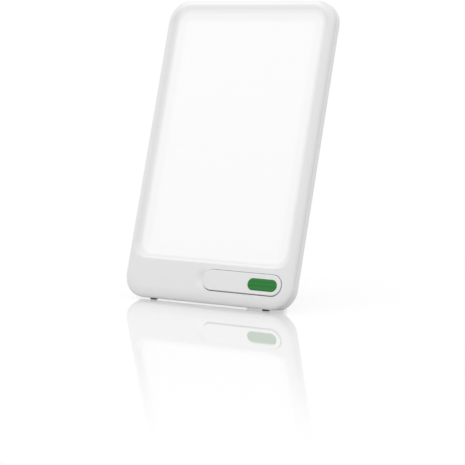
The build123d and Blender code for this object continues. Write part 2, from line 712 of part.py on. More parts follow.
def heel(half):
    """The stop above the pivot, which lies on the recess's floor when the leg is open."""
    floor = HINGE_D - RECESS_D - HEEL_GAP
    lug = block(-half + LEG_SHELL, half - LEG_SHELL, 0, HEEL_H, -floor, 0)
    lug -= block(-half, half, -BARREL_R, 0, -LEG_T, LEG_T)
    return Rot(-FOLD, 0, 0) * lug


def below_leg(height):
    """Everything lower than a height above the table, in the open leg's frame."""
    space = Pos(0, 0, height - FAR / 2) * Box(FAR, FAR, FAR)
    return OPEN_LEG.inverse() * STANDING.inverse() * space


def leg_pad():
    block_shape = slab(leg_outline(-LEG_PAD_OVER), -LEG_T / 2 - LEG_PAD_OVER, LEG_T / 2 + LEG_PAD_OVER)
    return (block_shape & below_leg(LEG_PAD_T)) - below_leg(0)


def hinge_pin():
    half = RECESS_W / 2 + WALL + HINGE_BOSS + CLIP_T + PIN_END
    pin = rod_across(-half, half, HINGE_V, HINGE_D, HINGE_PIN_R)
    for start in clip_starts():
        ring = rod_across(start, start + CLIP_T + GROOVE_GAP, HINGE_V, HINGE_D, HINGE_PIN_R)
        ring -= rod_across(start, start + CLIP_T + GROOVE_GAP, HINGE_V, HINGE_D, HINGE_PIN_R - GROOVE_DEPTH)
        pin -= ring
    return pin


def clip_starts():
    """Where the retaining clips' grooves begin, along X."""
    edge = RECESS_W / 2 + WALL + HINGE_BOSS
    return (-edge - CLIP_T - GROOVE_GAP, edge)


def hinge_clips():
    clips = []
    for start in clip_starts():
        low = start + GROOVE_GAP / 2
        clip = rod_across(low, low + CLIP_T, HINGE_V, HINGE_D, CLIP_R)
        clip -= rod_across(low, low + CLIP_T, HINGE_V, HINGE_D, HINGE_PIN_R - GROOVE_DEPTH + GROOVE_GAP)
        half = CLIP_MOUTH / 2
        mouth = block(low, low + CLIP_T, HINGE_V - half, HINGE_V + half, HINGE_D - CLIP_R, HINGE_D)
        clips.append(clip - mouth)
    return clips


def hinge_washers():
    washers = []
    wall = RECESS_W / 2
    for low in (-wall + WASHER_GAP, wall - WASHER_GAP - WASHER_T):
        disc = rod_across(low, low + WASHER_T, HINGE_V, HINGE_D, WASHER_R)
        washers.append(disc - rod_across(low, low + WASHER_T, HINGE_V, HINGE_D, HINGE_PIN_R + PIN_GAP))
    return washers


# Assembly

PANEL_NODES = {
    "front_housing": front_housing, "rear_housing": rear_housing, "front_feet": front_feet,
    "diffuser": diffuser, "reflector_tray": reflector_tray, "led_board": led_board,
    "led_packages": led_packages, "key": key, "key_pin": key_pin, "green_pad": green_pad,
    "switch_plunger": switch_plunger, "switch_body": switch_body, "switch_board": switch_board,
    "control_board": control_board, "board_screws": board_screws, "case_screws": case_screws,
    "dc_jack": dc_jack, "jack_pin": jack_pin, "lead_connectors": lead_connectors,
    "power_inductor": power_inductor, "smoothing_capacitors": smoothing_capacitors,
    "driver_chip": driver_chip, "switch_lead": switch_lead, "light_lead": light_lead,
    "hinge_pin": hinge_pin, "hinge_clips": hinge_clips, "hinge_washers": hinge_washers,
}
LEG_NODES = {"leg": leg, "leg_pad": leg_pad}


def solids_of(made):
    """Every solid in a shape or a list of shapes."""
    shapes = made if isinstance(made, (list, ShapeList)) else [made]
    return [solid for shape in shapes for solid in shape.solids()]


def stand_up():
    """All nodes on the table, with the origin under the middle of their box."""
    nodes = {name: [STANDING * solid for solid in solids_of(make())]
             for name, make in PANEL_NODES.items()}
    for name, make in LEG_NODES.items():
        nodes[name] = [STANDING * OPEN_LEG * solid for solid in solids_of(make())]
    box = Compound([solid for solids in nodes.values() for solid in solids]).bounding_box()
    centre = Location((0, -(box.min.Y + box.max.Y) / 2, 0))
    return {name: [centre * solid for solid in solids] for name, solids in nodes.items()}, centre


def report_places(centre):
    """Print the places that the joints and mounts are stated at."""
    spots = {
        "leg hinge": (0, HINGE_V, HINGE_D),
        "key pivot": (KEY_PIVOT_X, KEY_V, PIVOT_DEPTH),
        "switch": (SWITCH_X, SWITCH_V, PLUNGER_FRONT),
        "inlet": (-POD_W / 2, JACK_V, JACK_D),
    }
    for name, (x, v, depth) in spots.items():
        place = (centre * STANDING * Location((x, v, -depth))).position
        print(name, [round(value, 3) for value in place])
    print("fold", FOLD, "leg length", round(LEG_L, 2), "key arm", round(SWITCH_X - KEY_PIVOT_X, 2))


nodes, centre = stand_up()
os.makedirs("parts", exist_ok=True)
for name, solids in nodes.items():
    export_step(solids[0] if len(solids) == 1 else Compound(solids), f"parts/{name}.step")
report_places(centre)
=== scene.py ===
"""Looks of a tablet-shaped light therapy lamp that leans back on a fold-out leg.

Every shaped piece is modelled lying on its back, in the panel's own frame: X
runs across the panel, Y runs up it and Z points out of its front, with the
front crest at Z = 0. stand() then leans the piece back onto the packed frame.
The leg is first modelled about its hinge, and the screw about its axis.
"""

import json
import math

import bmesh
import bpy
from bpy.props import FloatProperty, FloatVectorProperty, IntProperty, PointerProperty
from mathutils import Matrix, Vector


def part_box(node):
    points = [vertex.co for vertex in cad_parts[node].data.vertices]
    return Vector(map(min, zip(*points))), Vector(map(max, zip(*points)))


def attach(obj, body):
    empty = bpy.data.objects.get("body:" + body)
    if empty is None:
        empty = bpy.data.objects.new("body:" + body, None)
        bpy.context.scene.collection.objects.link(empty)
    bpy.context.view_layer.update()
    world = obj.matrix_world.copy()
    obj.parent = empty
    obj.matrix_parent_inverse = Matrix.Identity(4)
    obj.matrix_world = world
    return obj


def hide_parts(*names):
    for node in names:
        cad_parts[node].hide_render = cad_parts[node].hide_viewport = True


bl_info = {
    "name": "Light Therapy Lamp",
    "version": (1, 0, 0),
    "blender": (4, 5, 0),
    "location": "View3D > Sidebar > Lamp",
    "description": "Models and finishes a light therapy lamp around its packed frame",
    "category": "Object",
}

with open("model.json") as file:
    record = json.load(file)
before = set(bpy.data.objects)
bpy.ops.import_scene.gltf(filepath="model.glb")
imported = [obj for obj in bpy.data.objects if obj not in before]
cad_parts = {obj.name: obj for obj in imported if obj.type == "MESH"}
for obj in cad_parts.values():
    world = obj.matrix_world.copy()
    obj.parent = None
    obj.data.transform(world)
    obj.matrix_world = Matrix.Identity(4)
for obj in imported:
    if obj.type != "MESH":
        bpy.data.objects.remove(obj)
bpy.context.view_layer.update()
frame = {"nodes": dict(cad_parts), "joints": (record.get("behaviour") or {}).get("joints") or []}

MM = 0.001
NEAR = 0.01 * MM              # a point this close to a level is picked with it
SAME_POINT = 0.001 * MM       # points closer than this become one
OVER = 1 * MM                 # how far a cutter runs past what it cuts
SOFT_STEPS = 14               # in a wide soft round or slope, so that gloss runs over it without bands
FLAT_RIM = [(0.3 * MM, 0.0)]  # a narrow rim that keeps a round's shading off the flat inside it
SCOOP_SLOPE = 0.92            # share of the scoop's radius that slopes
SCREWS_AT = ((40.0 * MM, 7.6 * MM), (66.94 * MM, 234.44 * MM))  # across to each side, and up the panel
FLOOR_SIZE = 8.0
FLOOR_MIDDLE = (-1.5, 1.5, 0.0)
FLOOR_FADES = {"matt": (0.08, 0.5), "mirror": (0.2, 0.54), "bounce": (0.15, 0.6)}  # from, to, in metres
LIGHT_AIM = (0.0, 0.0, 0.14)  # the point that the main light faces, in the lamp's middle
FRONT_LOW, FRONT_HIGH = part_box("front_housing")
JOINTS = {joint["name"]: joint for joint in frame["joints"]}
ACROSS = Vector((1.0, 0.0, 0.0))
UP_PANEL = Vector(JOINTS["key_press"]["axis"])
OUT_OF_PANEL = -Vector(JOINTS["plunger_travel"]["axis"])


# Small helpers

def linear(code):
    """Linear colour from an sRGB hex value."""
    channels = [int(code[i:i + 2], 16) / 255 for i in (0, 2, 4)]
    return tuple(c / 12.92 if c <= 0.04045 else ((c + 0.055) / 1.055) ** 2.4 for c in channels)


def length(name, description, millimetres):
    """A length that a user can change, with its default in millimetres."""
    return FloatProperty(name=name, description=description, default=millimetres * MM,
                         min=0.0, precision=4, subtype="DISTANCE", unit="LENGTH")


def colour(name, description, code):
    """A colour that a user can change, with its default as sRGB hex."""
    return FloatVectorProperty(name=name, description=description, default=linear(code),
                               min=0.0, max=1.0, size=3, subtype="COLOR")


def only(piece):
    """Select one object and nothing else."""
    bpy.ops.object.select_all(action="DESELECT")
    piece.select_set(True)
    bpy.context.view_layer.objects.active = piece


def pick(kind, test):
    """Select the parts of the mesh being edited whose middle passes a test."""
    bpy.ops.mesh.select_mode(type=kind)
    bpy.ops.mesh.select_all(action="DESELECT")
    mesh = bmesh.from_edit_mesh(bpy.context.edit_object.data)
    parts = {"VERT": mesh.verts, "EDGE": mesh.edges, "FACE": mesh.faces}[kind]
    for part in parts:
        corners = [part] if kind == "VERT" else part.verts
        middle = sum((corner.co for corner in corners), Vector()) / len(corners)
        part.select_set(bool(test(middle, part)))
    mesh.select_flush_mode()
    bmesh.update_edit_mesh(bpy.context.edit_object.data)


def grown(outline, by):
    """An outline (x, y, width, height, corner radius) moved outwards all round."""
    x, y, width, height, radius = outline
    return x, y, width + 2 * by, height + 2 * by, radius + by


def plate(name, outline, level, facing_up=True, segments=24):
    """A level face with rounded corners, in edit mode and selected."""
    x, y, width, height, radius = outline
    bpy.ops.object.select_all(action="DESELECT")
    bpy.ops.mesh.primitive_plane_add(size=1.0, location=(x, y, level))
    piece = bpy.context.object
    piece.name = name
    piece.scale = (width, height, 1.0)
    bpy.ops.object.transform_apply(location=True, rotation=True, scale=True)
    bpy.ops.object.mode_set(mode="EDIT")
    bpy.ops.mesh.select_all(action="SELECT")
    bpy.ops.mesh.bevel(offset=radius, segments=segments, affect="VERTICES", clamp_overlap=False)
    bpy.ops.mesh.select_all(action="SELECT")
    bpy.ops.mesh.remove_doubles(threshold=2 * SAME_POINT)
    bpy.ops.mesh.select_mode(type="FACE")
    bpy.ops.mesh.select_all(action="SELECT")
    if not facing_up:
        bpy.ops.mesh.flip_normals()
    return piece


def push(distance):
    """Extrude the selected face along its normal."""
    mesh = bmesh.from_edit_mesh(bpy.context.edit_object.data)
    normal = next(face.normal.copy() for face in mesh.faces if face.select)
    bpy.ops.mesh.extrude_region_move(TRANSFORM_OT_translate={"value": normal * distance})


def step_in(steps):
    """Inset the selected face again and again, by (inwards, along the normal)."""
    for inwards, along in steps:
        bpy.ops.mesh.inset(thickness=inwards, depth=along)


def steps_between(points):
    """Inset steps from each point to the next."""
    return [(b[0] - a[0], b[1] - a[1]) for a, b in zip(points, points[1:])]


def quarter_round(wide, count, high=None):
    """Inset steps of a convex quarter round, from an upright wall onto a level top."""
    high = wide if high is None else high
    angles = [math.pi / 2 * i / count for i in range(count + 1)]
    return steps_between([(wide * (1 - math.cos(a)), high * math.sin(a)) for a in angles])


def hollow_round(wide, count):
    """Inset steps of a hollow quarter round, which narrows down into an upright wall."""
    return [(along, inwards) for inwards, along in quarter_round(wide, count)]


def inside(outline, point):
    """How far a point lies inside an outline."""
    x, y, width, height, radius = outline
    across = abs(point.x - x) - (width / 2 - radius)
    up = abs(point.y - y) - (height / 2 - radius)
    return radius - math.hypot(max(across, 0.0), max(up, 0.0)) - min(max(across, up), 0.0)


def soft_step(width, along, count):
    """Inset steps of a slope that is level at both ends, so it shows no line there."""
    shares = [i / count for i in range(count + 1)]
    return steps_between([(width * t, along * t * t * (3 - 2 * t)) for t in shares])


def break_edge(level, width):
    """Bevel the edges that lie at a level of the mesh being edited."""
    pick("EDGE", lambda middle, edge: abs(middle.z - level) < NEAR)
    bpy.ops.mesh.bevel(offset=width, segments=2, affect="EDGES")


def done(piece):
    """Leave edit mode with every face pointing outwards."""
    bpy.ops.mesh.select_all(action="SELECT")
    bpy.ops.mesh.normals_make_consistent(inside=False)
    bpy.ops.object.mode_set(mode="OBJECT")
    return piece


def block(name, outline, low, high, segments=24):
    """A closed block with upright walls."""
    piece = plate(name, outline, low, segments=segments)
    push(high - low)
    return done(piece)


def rod(name, middle, radius, long, axis="Z", sides=48):
    """A closed round rod about its middle, along X or Z."""
    turn = (0.0, math.pi / 2, 0.0) if axis == "X" else (0.0, 0.0, 0.0)
    bpy.ops.object.select_all(action="DESELECT")
    bpy.ops.mesh.primitive_cylinder_add(vertices=sides, radius=radius, depth=long,
                                        location=middle, rotation=turn)
    piece = bpy.context.object
    piece.name = name
    bpy.ops.object.transform_apply(location=True, rotation=True, scale=True)
    return piece


def cut(piece, cutter, how="DIFFERENCE"):
    """Take a cutter's shape out of a piece, or add it, and throw the cutter away."""
    only(piece)
    tool = piece.modifiers.new("cut", "BOOLEAN")
    tool.operation = how
    tool.solver = "EXACT"
    tool.object = cutter
    bpy.ops.object.modifier_apply(modifier=tool.name)
    bpy.data.objects.remove(cutter)
    bpy.ops.object.mode_set(mode="EDIT")
    bpy.ops.mesh.select_all(action="SELECT")
    bpy.ops.mesh.remove_doubles(threshold=SAME_POINT)
    bpy.ops.mesh.dissolve_degenerate(threshold=SAME_POINT)
    bpy.ops.object.mode_set(mode="OBJECT")


def open_into(piece, outline, surface, deep, lip, facing_up=False, segments=24):
    """Cut an opening with a rounded rim into a level surface, from above or from below."""
    clear = 2 * OVER
    start = surface - clear if facing_up else surface + clear
    cutter = plate("opening", grown(outline, lip), start, facing_up=facing_up, segments=segments)
    push(clear)
    step_in(hollow_round(lip, 4))
    push(deep - lip)
    cut(piece, done(cutter))


def panel_place():
    """The turn and move from the panel's own frame to the packed frame."""
    key = bpy.context.scene.lamp_key
    pivot = Vector(JOINTS["key_press"]["pos_m"])
    corner = pivot - UP_PANEL * key.pivot_up + OUT_OF_PANEL * key.pivot_depth
    turn = Matrix((ACROSS, UP_PANEL, OUT_OF_PANEL)).transposed().to_4x4()
    return Matrix.Translation((0.0, corner.y, corner.z)) @ turn


def move(piece, place):
    """Move a piece's mesh by a matrix, so that its object stays at the origin."""
    only(piece)
    piece.matrix_world = place @ piece.matrix_world
    bpy.ops.object.transform_apply(location=True, rotation=True, scale=True)


def stand(piece):
    """Lean a piece modelled in the panel's frame back onto the packed frame."""
    move(piece, panel_place())


def trim_below(piece, level):
    """Take away what a standing piece has below a level."""
    far = 1.0
    cut(piece, block("below", (0.0, 0.0, far, far, 10 * MM), level - far, level, segments=1))


def smooth(piece, degrees=32.0):
    """Shade the rounds smooth, and keep crisp edges crisp and flat faces flat."""
    only(piece)
    bpy.ops.object.shade_smooth_by_angle(angle=math.radians(degrees))
    weight = piece.modifiers.new("flat faces first", "WEIGHTED_NORMAL")
    weight.keep_sharp = True
    weight.weight = 80
    bpy.ops.object.modifier_apply(modifier=weight.name)


def dress(piece, material):
    """Give a whole piece one material."""
    piece.data.materials.clear()
    piece.data.materials.append(material)
    for face in piece.data.polygons:
        face.material_index = 0


def fit(piece, body, slot, material, *nodes):
    """Shade and dress a piece, let it ride on its body, and let it stand for its packed nodes."""
    piece.data.name = piece.name
    smooth(piece)
    dress(piece, material)
    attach(piece, body)
    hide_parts(*nodes)


# Sizes and settings

class LampShellSizes(bpy.types.PropertyGroup):
    """Sizes of the two shells."""
    width: length("Width", "Across the panel", (FRONT_HIGH.x - FRONT_LOW.x) / MM)
    height: length("Height", "Up the panel", 245.0)
    corner: length("Corner radius", "Of the panel's outline", 18.0)
    wall: length("Wall", "Thickness of both shells", 2.2)
    seam: length("Seam depth", "From the front crest back to the seam", 5.3)
    round_wide: length("Front round, width", "Soft round of the front frame's outer edge, inwards", 9.0)
    round_deep: length("Front round, depth", "Soft round of the front frame's outer edge, backwards", 3.3)
    seam_edge: length("Seam edge", "Broken edge of each shell at the seam", 0.25)
    seam_gap: length("Seam gap", "Between the two shells", 0.25)
    tongue: length("Tongue", "Thickness of the front frame's tongue, inside the rear shell", 0.95)
    tongue_long: length("Tongue length", "Behind the seam", 1.7)


class LampBackSizes(bpy.types.PropertyGroup):
    """Sizes of the rear shell behind the seam."""
    depth: length("Back depth", "From the front crest to the rear shell's back", 14.3)
    round: length("Back round", "Round of the rear shell's back edge", 4.0)
    lower_wall: length("Lower wall", "Thick wall that the feet stand in", 5.0)
    floor_gap: length("Floor gap", "Height of the shell's level underside above the table", 1.6)
    pod_wide: length("Pod width", "Across the pod", 114.0)
    pod_low: length("Pod's lower edge", "Above the panel's lower edge", 12.0)
    pod_high: length("Pod's upper edge", "Above the panel's lower edge", 172.0)
    pod_corner: length("Pod corner radius", "Of the pod's outline", 12.0)
    pod_depth: length("Pod depth", "From the front crest to the pod's back", 27.0)
    pod_round: length("Pod round", "Round of the pod's back edge", 4.0)
    pod_foot: length("Pod foot", "Hollow round where the pod meets the back", 0.8)
    recess_wide: length("Recess width", "Across the leg's recess", 40.0)
    recess_high: length("Recess height", "Of the leg's recess, above the panel's lower edge", 160.0)
    recess_depth: length("Recess depth", "From the front crest to the recess's floor", 17.3)
    rim: length("Rims", "Round of the openings' edges", 0.4)
    vent_long: length("Vent length", "Of each cooling slot", 20.0)
    vent_high: length("Vent height", "Of each cooling slot", 2.4)
    vent_x: length("Vent across", "Vents' middle, from the panel's middle", 39.0)
    vent_up: length("Vent up", "Vents' middle, above the panel's lower edge", 122.0)
    vent_pitch: length("Vent pitch", "Between cooling slots", 8.0)
    vents: IntProperty(name="Vents", description="Cooling slots on each side", default=5, min=1)
    plate_wide: length("Label width", "Of the bare sunk place for a label", 60.0)
    plate_high: length("Label height", "Of the bare sunk place for a label", 22.0)
    plate_up: length("Label up", "Label's middle, above the panel's lower edge", 203.0)
    plate_deep: length("Label depth", "Of the bare sunk place for a label", 0.4)
    screw_hole: length("Screw hole", "Radius of the sunk holes for the case screws", 1.75)
    screw_seat: length("Screw seat", "From the front crest to the screw heads' seat", 10.6)
    boss: length("Boss radius", "Of the posts that the case screws go through", 2.3)
    inlet_up: length("Inlet up", "Inlet's middle, above the panel's lower edge", 30.0)
    inlet_depth: length("Inlet depth", "From the front crest to the inlet's middle", 18.8)
    inlet_hole: length("Inlet hole", "Radius of the hole round the inlet", 3.95)
    foot_wide: length("Foot width", "Of each rubber foot", 5.0)
    foot_corner: length("Foot corner", "Radius of a foot's corners", 1.0)
    foot_gap: length("Foot gap", "Round each foot, in its pocket", 0.1)


class LampLegSizes(bpy.types.PropertyGroup):
    """Sizes of the fold-out leg."""
    wide: length("Width", "At the hinge", 34.0)
    foot_wide: length("Foot width", "At the table", 36.0)
    thick: length("Thickness", "Of the leg", 6.0)
    set_back: length("Set back", "From the hinge's line to the middle of the leg's thickness", 6.0)
    wall: length("Wall", "Of the leg's shell and ribs", 2.0)
    bay_deep: length("Bay depth", "Of the hollows between the ribs", 2.0)
    edge: length("Edge", "Round of the leg's edges", 1.2)
    barrel: length("Barrel", "Radius of the hinge barrel", 4.2)
    barrel_long: length("Barrel length", "Of the hinge barrel", 38.0)
    bore: length("Bore", "Radius of the pin's bore", 2.05)
    bays: IntProperty(name="Bays", description="Hollows between the leg's ribs", default=4, min=1)
    hinge_up: length("Hinge up", "Hinge, above the panel's lower edge", 150.0)
    hinge_depth: length("Hinge depth", "From the front crest to the hinge", 22.0)
    heel_high: length("Heel height", "Of the stop above the hinge", 7.0)
    heel_deep: length("Heel depth", "Of the stop, from the hinge to the recess's floor", 4.6)
    pad: length("Pad", "Height of the rubber pad under the leg", 4.0)
    boss_long: length("Boss length", "Of the bosses that hold the leg's pin", 3.8)


class LampWindowSizes(bpy.types.PropertyGroup):
    """Sizes of the window, the dish round it and the diffuser in it."""
    side: length("Side", "From the panel's edge to the window, at the sides", 8.9)
    top: length("Top", "From the panel's upper edge to the window", 8.6)
    bottom: length("Bottom", "From the panel's lower edge to the window", 33.6)
    corner: length("Corner radius", "Of the window", 11.5)
    dish_width: length("Dish width", "Of the slope down to the diffuser", 5.2)
    dish_depth: length("Dish depth", "From the crest to the diffuser's edge", 3.4)
    dish_low: FloatProperty(name="Dish at the bottom", description="Share of the dish's width at the bottom",
                            default=0.55, min=0.1, max=1.0)
    lip_width: length("Lip width", "Of the thick lip behind the dish", 5.0)
    lip_depth: length("Lip depth", "From the crest to the back of the lip", 4.2)
    gap: length("Gap", "Between the diffuser and the frame", 0.03)
    edge: length("Diffuser edge", "Round of the diffuser's edge", 0.12)
    band_width: length("Band width", "Of the diffuser's sloping border", 8.5)
    field_depth: length("Field depth", "From the crest to the diffuser's field", 4.0)
    # The diffuser's glow is its own light. Outside the window's edge, on the frame, the same glow is painted
    # light, and its wider reach at the top is a painted highlight.
    glow_and_painted_spill_reach: length("Glow and painted spill reach", "How far the diffuser's glow fades either side of its edge", 3.3)
    painted_glow_above: length("Painted glow above", "How much further the frame's glow reaches at the top", 7.0)
    glow_edge: FloatProperty(name="Glow at the edge", description="Strength inside the window's edge",
                             default=0.148, min=0.0)
    glow_field: FloatProperty(name="Glow of the field", description="Strength in the diffuser's field",
                              default=0.176, min=0.0)
    flange: length("Flange", "Of the diffuser, behind the frame's lip", 1.6)
    flange_thick: length("Flange thickness", "Of the diffuser's flange", 1.5)
    recess: length("Back recess", "In the back of the diffuser's field", 0.5)


class LampKeySizes(bpy.types.PropertyGroup):
    """Sizes of the rocker key, its opening and its green cap."""
    middle_x: length("Middle across", "Key's middle, right of the panel's middle", 33.3)
    pivot_up: length("Pin up", "Key's pin, above the panel's lower edge", 18.8)
    middle_down: length("Middle down", "Key's middle, below its pin's middle", 0.4)
    pivot_depth: length("Pivot depth", "From the crest back to the key's pin", 5.0)
    long: length("Length", "Of the key", 71.0)
    high: length("Height", "Of the key", 16.2)
    proud: length("Proud", "How far the key stands out of the frame", 0.8)
    skirt: length("Skirt", "From the crest to the key's lower edge", 3.4)
    edge: length("Edge", "Round of the key's edge", 0.7)
    gap: length("Gap", "Round the key", 0.45)
    gap_shift: length("Gap shift", "How far the opening sits lower and further right than the key", 0.15)
    lip: length("Opening's edge", "Round of the opening's edge", 0.35)
    scoop_x: length("Scoop across", "Scoop's middle, left of the panel's middle", 2.6)
    scoop: length("Scoop radius", "Of the dished place at the key's left end", 8.4)
    scoop_depth: length("Scoop depth", "Of the dished place", 1.5)
    cap_right: length("Cap across", "Cap's middle, right of the key's middle", 19.2)
    cap_down: length("Cap down", "Cap's middle, below the key's pin", 0.9)
    cap_long: length("Cap length", "Of the green cap", 26.2)
    cap_high: length("Cap height", "Of the green cap", 9.3)
    cap_thick: length("Cap thickness", "Of the green cap", 0.95)
    cap_edge: length("Cap edge", "Round of the green cap's edge", 0.3)
    cap_gap: length("Cap gap", "Round the green cap", 0.1)


class LampColours(bpy.types.PropertyGroup):
    """Colours of the lamp's finishes."""
    shell: colour("Shell", "Moulded white of the shells and the key", "E8E8E8")
    opal: colour("Diffuser", "Opal plastic of the diffuser", "E9E9E9")
    green: colour("Green cap", "Raised dots of the green cap", "0C8A2A")
    green_dark: colour("Green cap, dark", "Between the cap's raised dots", "066C1C")
    rubber: colour("Rubber", "Feet and the leg's pad", "2A2A2A")
    board: colour("Circuit board", "Lacquered board", "1E5A34")
    steel: colour("Steel", "Pins, clips and screws", "B8B9BC")
    black: colour("Black plastic", "Inlet, switch and chip", "1D1D1E")
    nylon: colour("Nylon", "Washers, plunger and connectors", "DCD9C8")
    sleeve: colour("Wire sleeve", "Of the inner leads", "B43A30")
    phosphor: colour("Phosphor", "Face of each light", "EFD97A")
    brass: colour("Brass", "Inlet's pin", "CDA657")
    ferrite: colour("Ferrite", "Inductor", "3A3A3D")
    can: colour("Capacitor can", "Drawn aluminium", "C4C6CA")


class LampStageSettings(bpy.types.PropertyGroup):
    """Camera, floor and lights."""
    camera_place: FloatVectorProperty(name="Camera", description="Camera's place", size=3,
                                      default=(0.7617, -1.19619, 0.21401), subtype="XYZ", unit="LENGTH")
    camera_azimuth: FloatProperty(name="Azimuth", description="Camera's turn to the right of the front",
                                  default=math.radians(32.6845), subtype="ANGLE", unit="ROTATION")
    camera_fall: FloatProperty(name="Downward tilt", description="Camera's tilt below level",
                               default=math.radians(6.4829), subtype="ANGLE", unit="ROTATION")
    camera_roll: FloatProperty(name="Roll", description="Camera's roll",
                               default=math.radians(0.3109), subtype="ANGLE", unit="ROTATION")
    camera_lens: FloatProperty(name="Lens", description="Focal length in millimetres on a 36 mm frame",
                               default=138.1538, min=1.0)
    floor: colour("Floor", "Pale floor", "F7F7F7")
    floor_bounce: colour("Floor bounce", "What the floor gives back to the lamp near it", "C2C2C2")
    floor_mirror: FloatProperty(name="Floor mirror", description="Share of light that the floor mirrors",
                                default=0.45, min=0.0, max=1.0)
    floor_matt: FloatProperty(name="Floor matt", description="Share of the rest that is matt white",
                              default=0.35, min=0.0, max=1.0)
    room: FloatProperty(name="Room light", description="Light from the sides and from below",
                        default=0.71, min=0.0)
    room_above: FloatProperty(name="Room light above", description="Light from straight above",
                              default=1.22, min=0.0)
    main_light: FloatProperty(name="Main light", description="Power of the main light, in watts",
                              default=1.3, min=0.0, subtype="POWER")
    light_place: FloatVectorProperty(name="Main light's place", description="Middle of the main light",
                                     size=3, default=(-0.4, -0.9, 1.05), subtype="XYZ", unit="LENGTH")
    light_size: length("Main light's size", "Side of the main light", 900.0)


# Finishes

def add_node(tree, kind, settings=None, links=None):
    """Add a shader node, set its fields or sockets, and link its inputs."""
    node = tree.nodes.new(kind)
    for name, value in (settings or {}).items():
        if isinstance(name, str) and hasattr(node, name):
            setattr(node, name, value)
        else:
            node.inputs[name].default_value = value
    for name, source in (links or {}).items():
        tree.links.new(source, node.inputs[name])
    return node


def new_material(name):
    material = bpy.data.materials.new(name)
    material.use_nodes = True
    material.node_tree.nodes.clear()
    return material, material.node_tree


def window_distance(tree, place, rise):
    """How far a point lies outside the window's outline, in metres, and less than 0 inside it. The outline's
    top is raised by rise, which spreads the frame's painted glow further up as a painted highlight.
    """
    x, y, width, height, radius = window_outline()
    y, height = y + rise / 2, height + rise
    across = Matrix.Translation((-x, -y, 0.0)) @ panel_place().inverted()
    flat = add_node(tree, "ShaderNodeMapping",
                    {"Location": across.translation, "Rotation": across.to_euler()},
                    {"Vector": place.outputs["Object"]})
    folded = add_node(tree, "ShaderNodeVectorMath", {"operation": "ABSOLUTE"}, {0: flat.outputs[0]})
    beyond = add_node(tree, "ShaderNodeVectorMath",
                      {"operation": "SUBTRACT", 1: (width / 2 - radius, height / 2 - radius, 1.0)},
                      {0: folded.outputs[0]})
    outside = add_node(tree, "ShaderNodeVectorMath", {"operation": "MAXIMUM", 1: (0.0, 0.0, 0.0)},
                       {0: beyond.outputs[0]})
    reach = add_node(tree, "ShaderNodeVectorMath", {"operation": "LENGTH"}, {0: outside.outputs[0]})
    return add_node(tree, "ShaderNodeMath", {"operation": "SUBTRACT", 1: radius},
                    {0: reach.outputs["Value"]})


def add_lamp_glow_and_painted_spill(material, rise):
    """The diffuser's own light, and a painted glow that fades out in the frame round it, standing in for the
    diffuser's light that falls on the frame.
    """
    window = bpy.context.scene.lamp_window
    tree = material.node_tree
    place = tree.nodes["Texture Coordinate"]
    distance = window_distance(tree, place, rise)
    # Emission either side of the window's edge: the diffuser's own light inside it, painted light on the
    # frame outside it.
    border = add_node(tree, "ShaderNodeMapRange",
                      {"interpolation_type": "SMOOTHSTEP", "From Min": window.glow_and_painted_spill_reach,
                       "From Max": -window.glow_and_painted_spill_reach, "To Min": 0.0, "To Max": window.glow_edge},
                      {"Value": distance.outputs[0]})
    inner, before, after = -window.band_width, 2.5 * MM, 2.0 * MM
    middle = add_node(tree, "ShaderNodeMapRange",
                      {"interpolation_type": "SMOOTHSTEP", "From Min": inner + before,
                       "From Max": inner - after, "To Min": 0.0,
                       "To Max": window.glow_field - window.glow_edge},
                      {"Value": distance.outputs[0]})
    glow = add_node(tree, "ShaderNodeMath", {"operation": "ADD"},
                    {0: border.outputs[0], 1: middle.outputs[0]})
    shader = tree.nodes["Principled BSDF"]
    shader.inputs["Emission Color"].default_value = (1.0, 1.0, 1.0, 1.0)
    tree.links.new(glow.outputs[0], shader.inputs["Emission Strength"])


def moulded(name, base, roughness, grain=0.6, height=0.004, drift=0.012, ior=1.5):
    """Moulded plastic: a fine eroded grain breaks the gloss, and its colour drifts a little.

    The real grain is about 0.05 mm, too fine to show, so it is drawn 0.6 mm wide."""
    material, tree = new_material(name)
    place = add_node(tree, "ShaderNodeTexCoord")
    fine = add_node(tree, "ShaderNodeTexNoise",
                    {"Scale": 1.0 / (grain * MM), "Detail": 2.0, "Roughness": 0.6},
                    {"Vector": place.outputs["Object"]})
    broad = add_node(tree, "ShaderNodeTexNoise", {"Scale": 1.0 / (40 * MM), "Detail": 1.0},
                     {"Vector": place.outputs["Object"]})
    low = [c * (1 - drift) for c in base]
    high = [min(1.0, c * (1 + drift)) for c in base]
    tint = add_node(tree, "ShaderNodeMix", {"data_type": "RGBA", 6: (*low, 1.0), 7: (*high, 1.0)},
                    {0: broad.outputs["Fac"]})
    gloss = add_node(tree, "ShaderNodeMapRange",
                     {"To Min": roughness - 0.04, "To Max": roughness + 0.04},
                     {"Value": fine.outputs["Fac"]})
    bump = add_node(tree, "ShaderNodeBump", {"Strength": 0.25, "Distance": height * MM},
                    {"Height": fine.outputs["Fac"]})
    shader = add_node(tree, "ShaderNodeBsdfPrincipled", {"IOR": ior},
                      {"Base Color": tint.outputs[2], "Roughness": gloss.outputs[0],
                       "Normal": bump.outputs[0]})
    add_node(tree, "ShaderNodeOutputMaterial", links={"Surface": shader.outputs[0]})
    return material


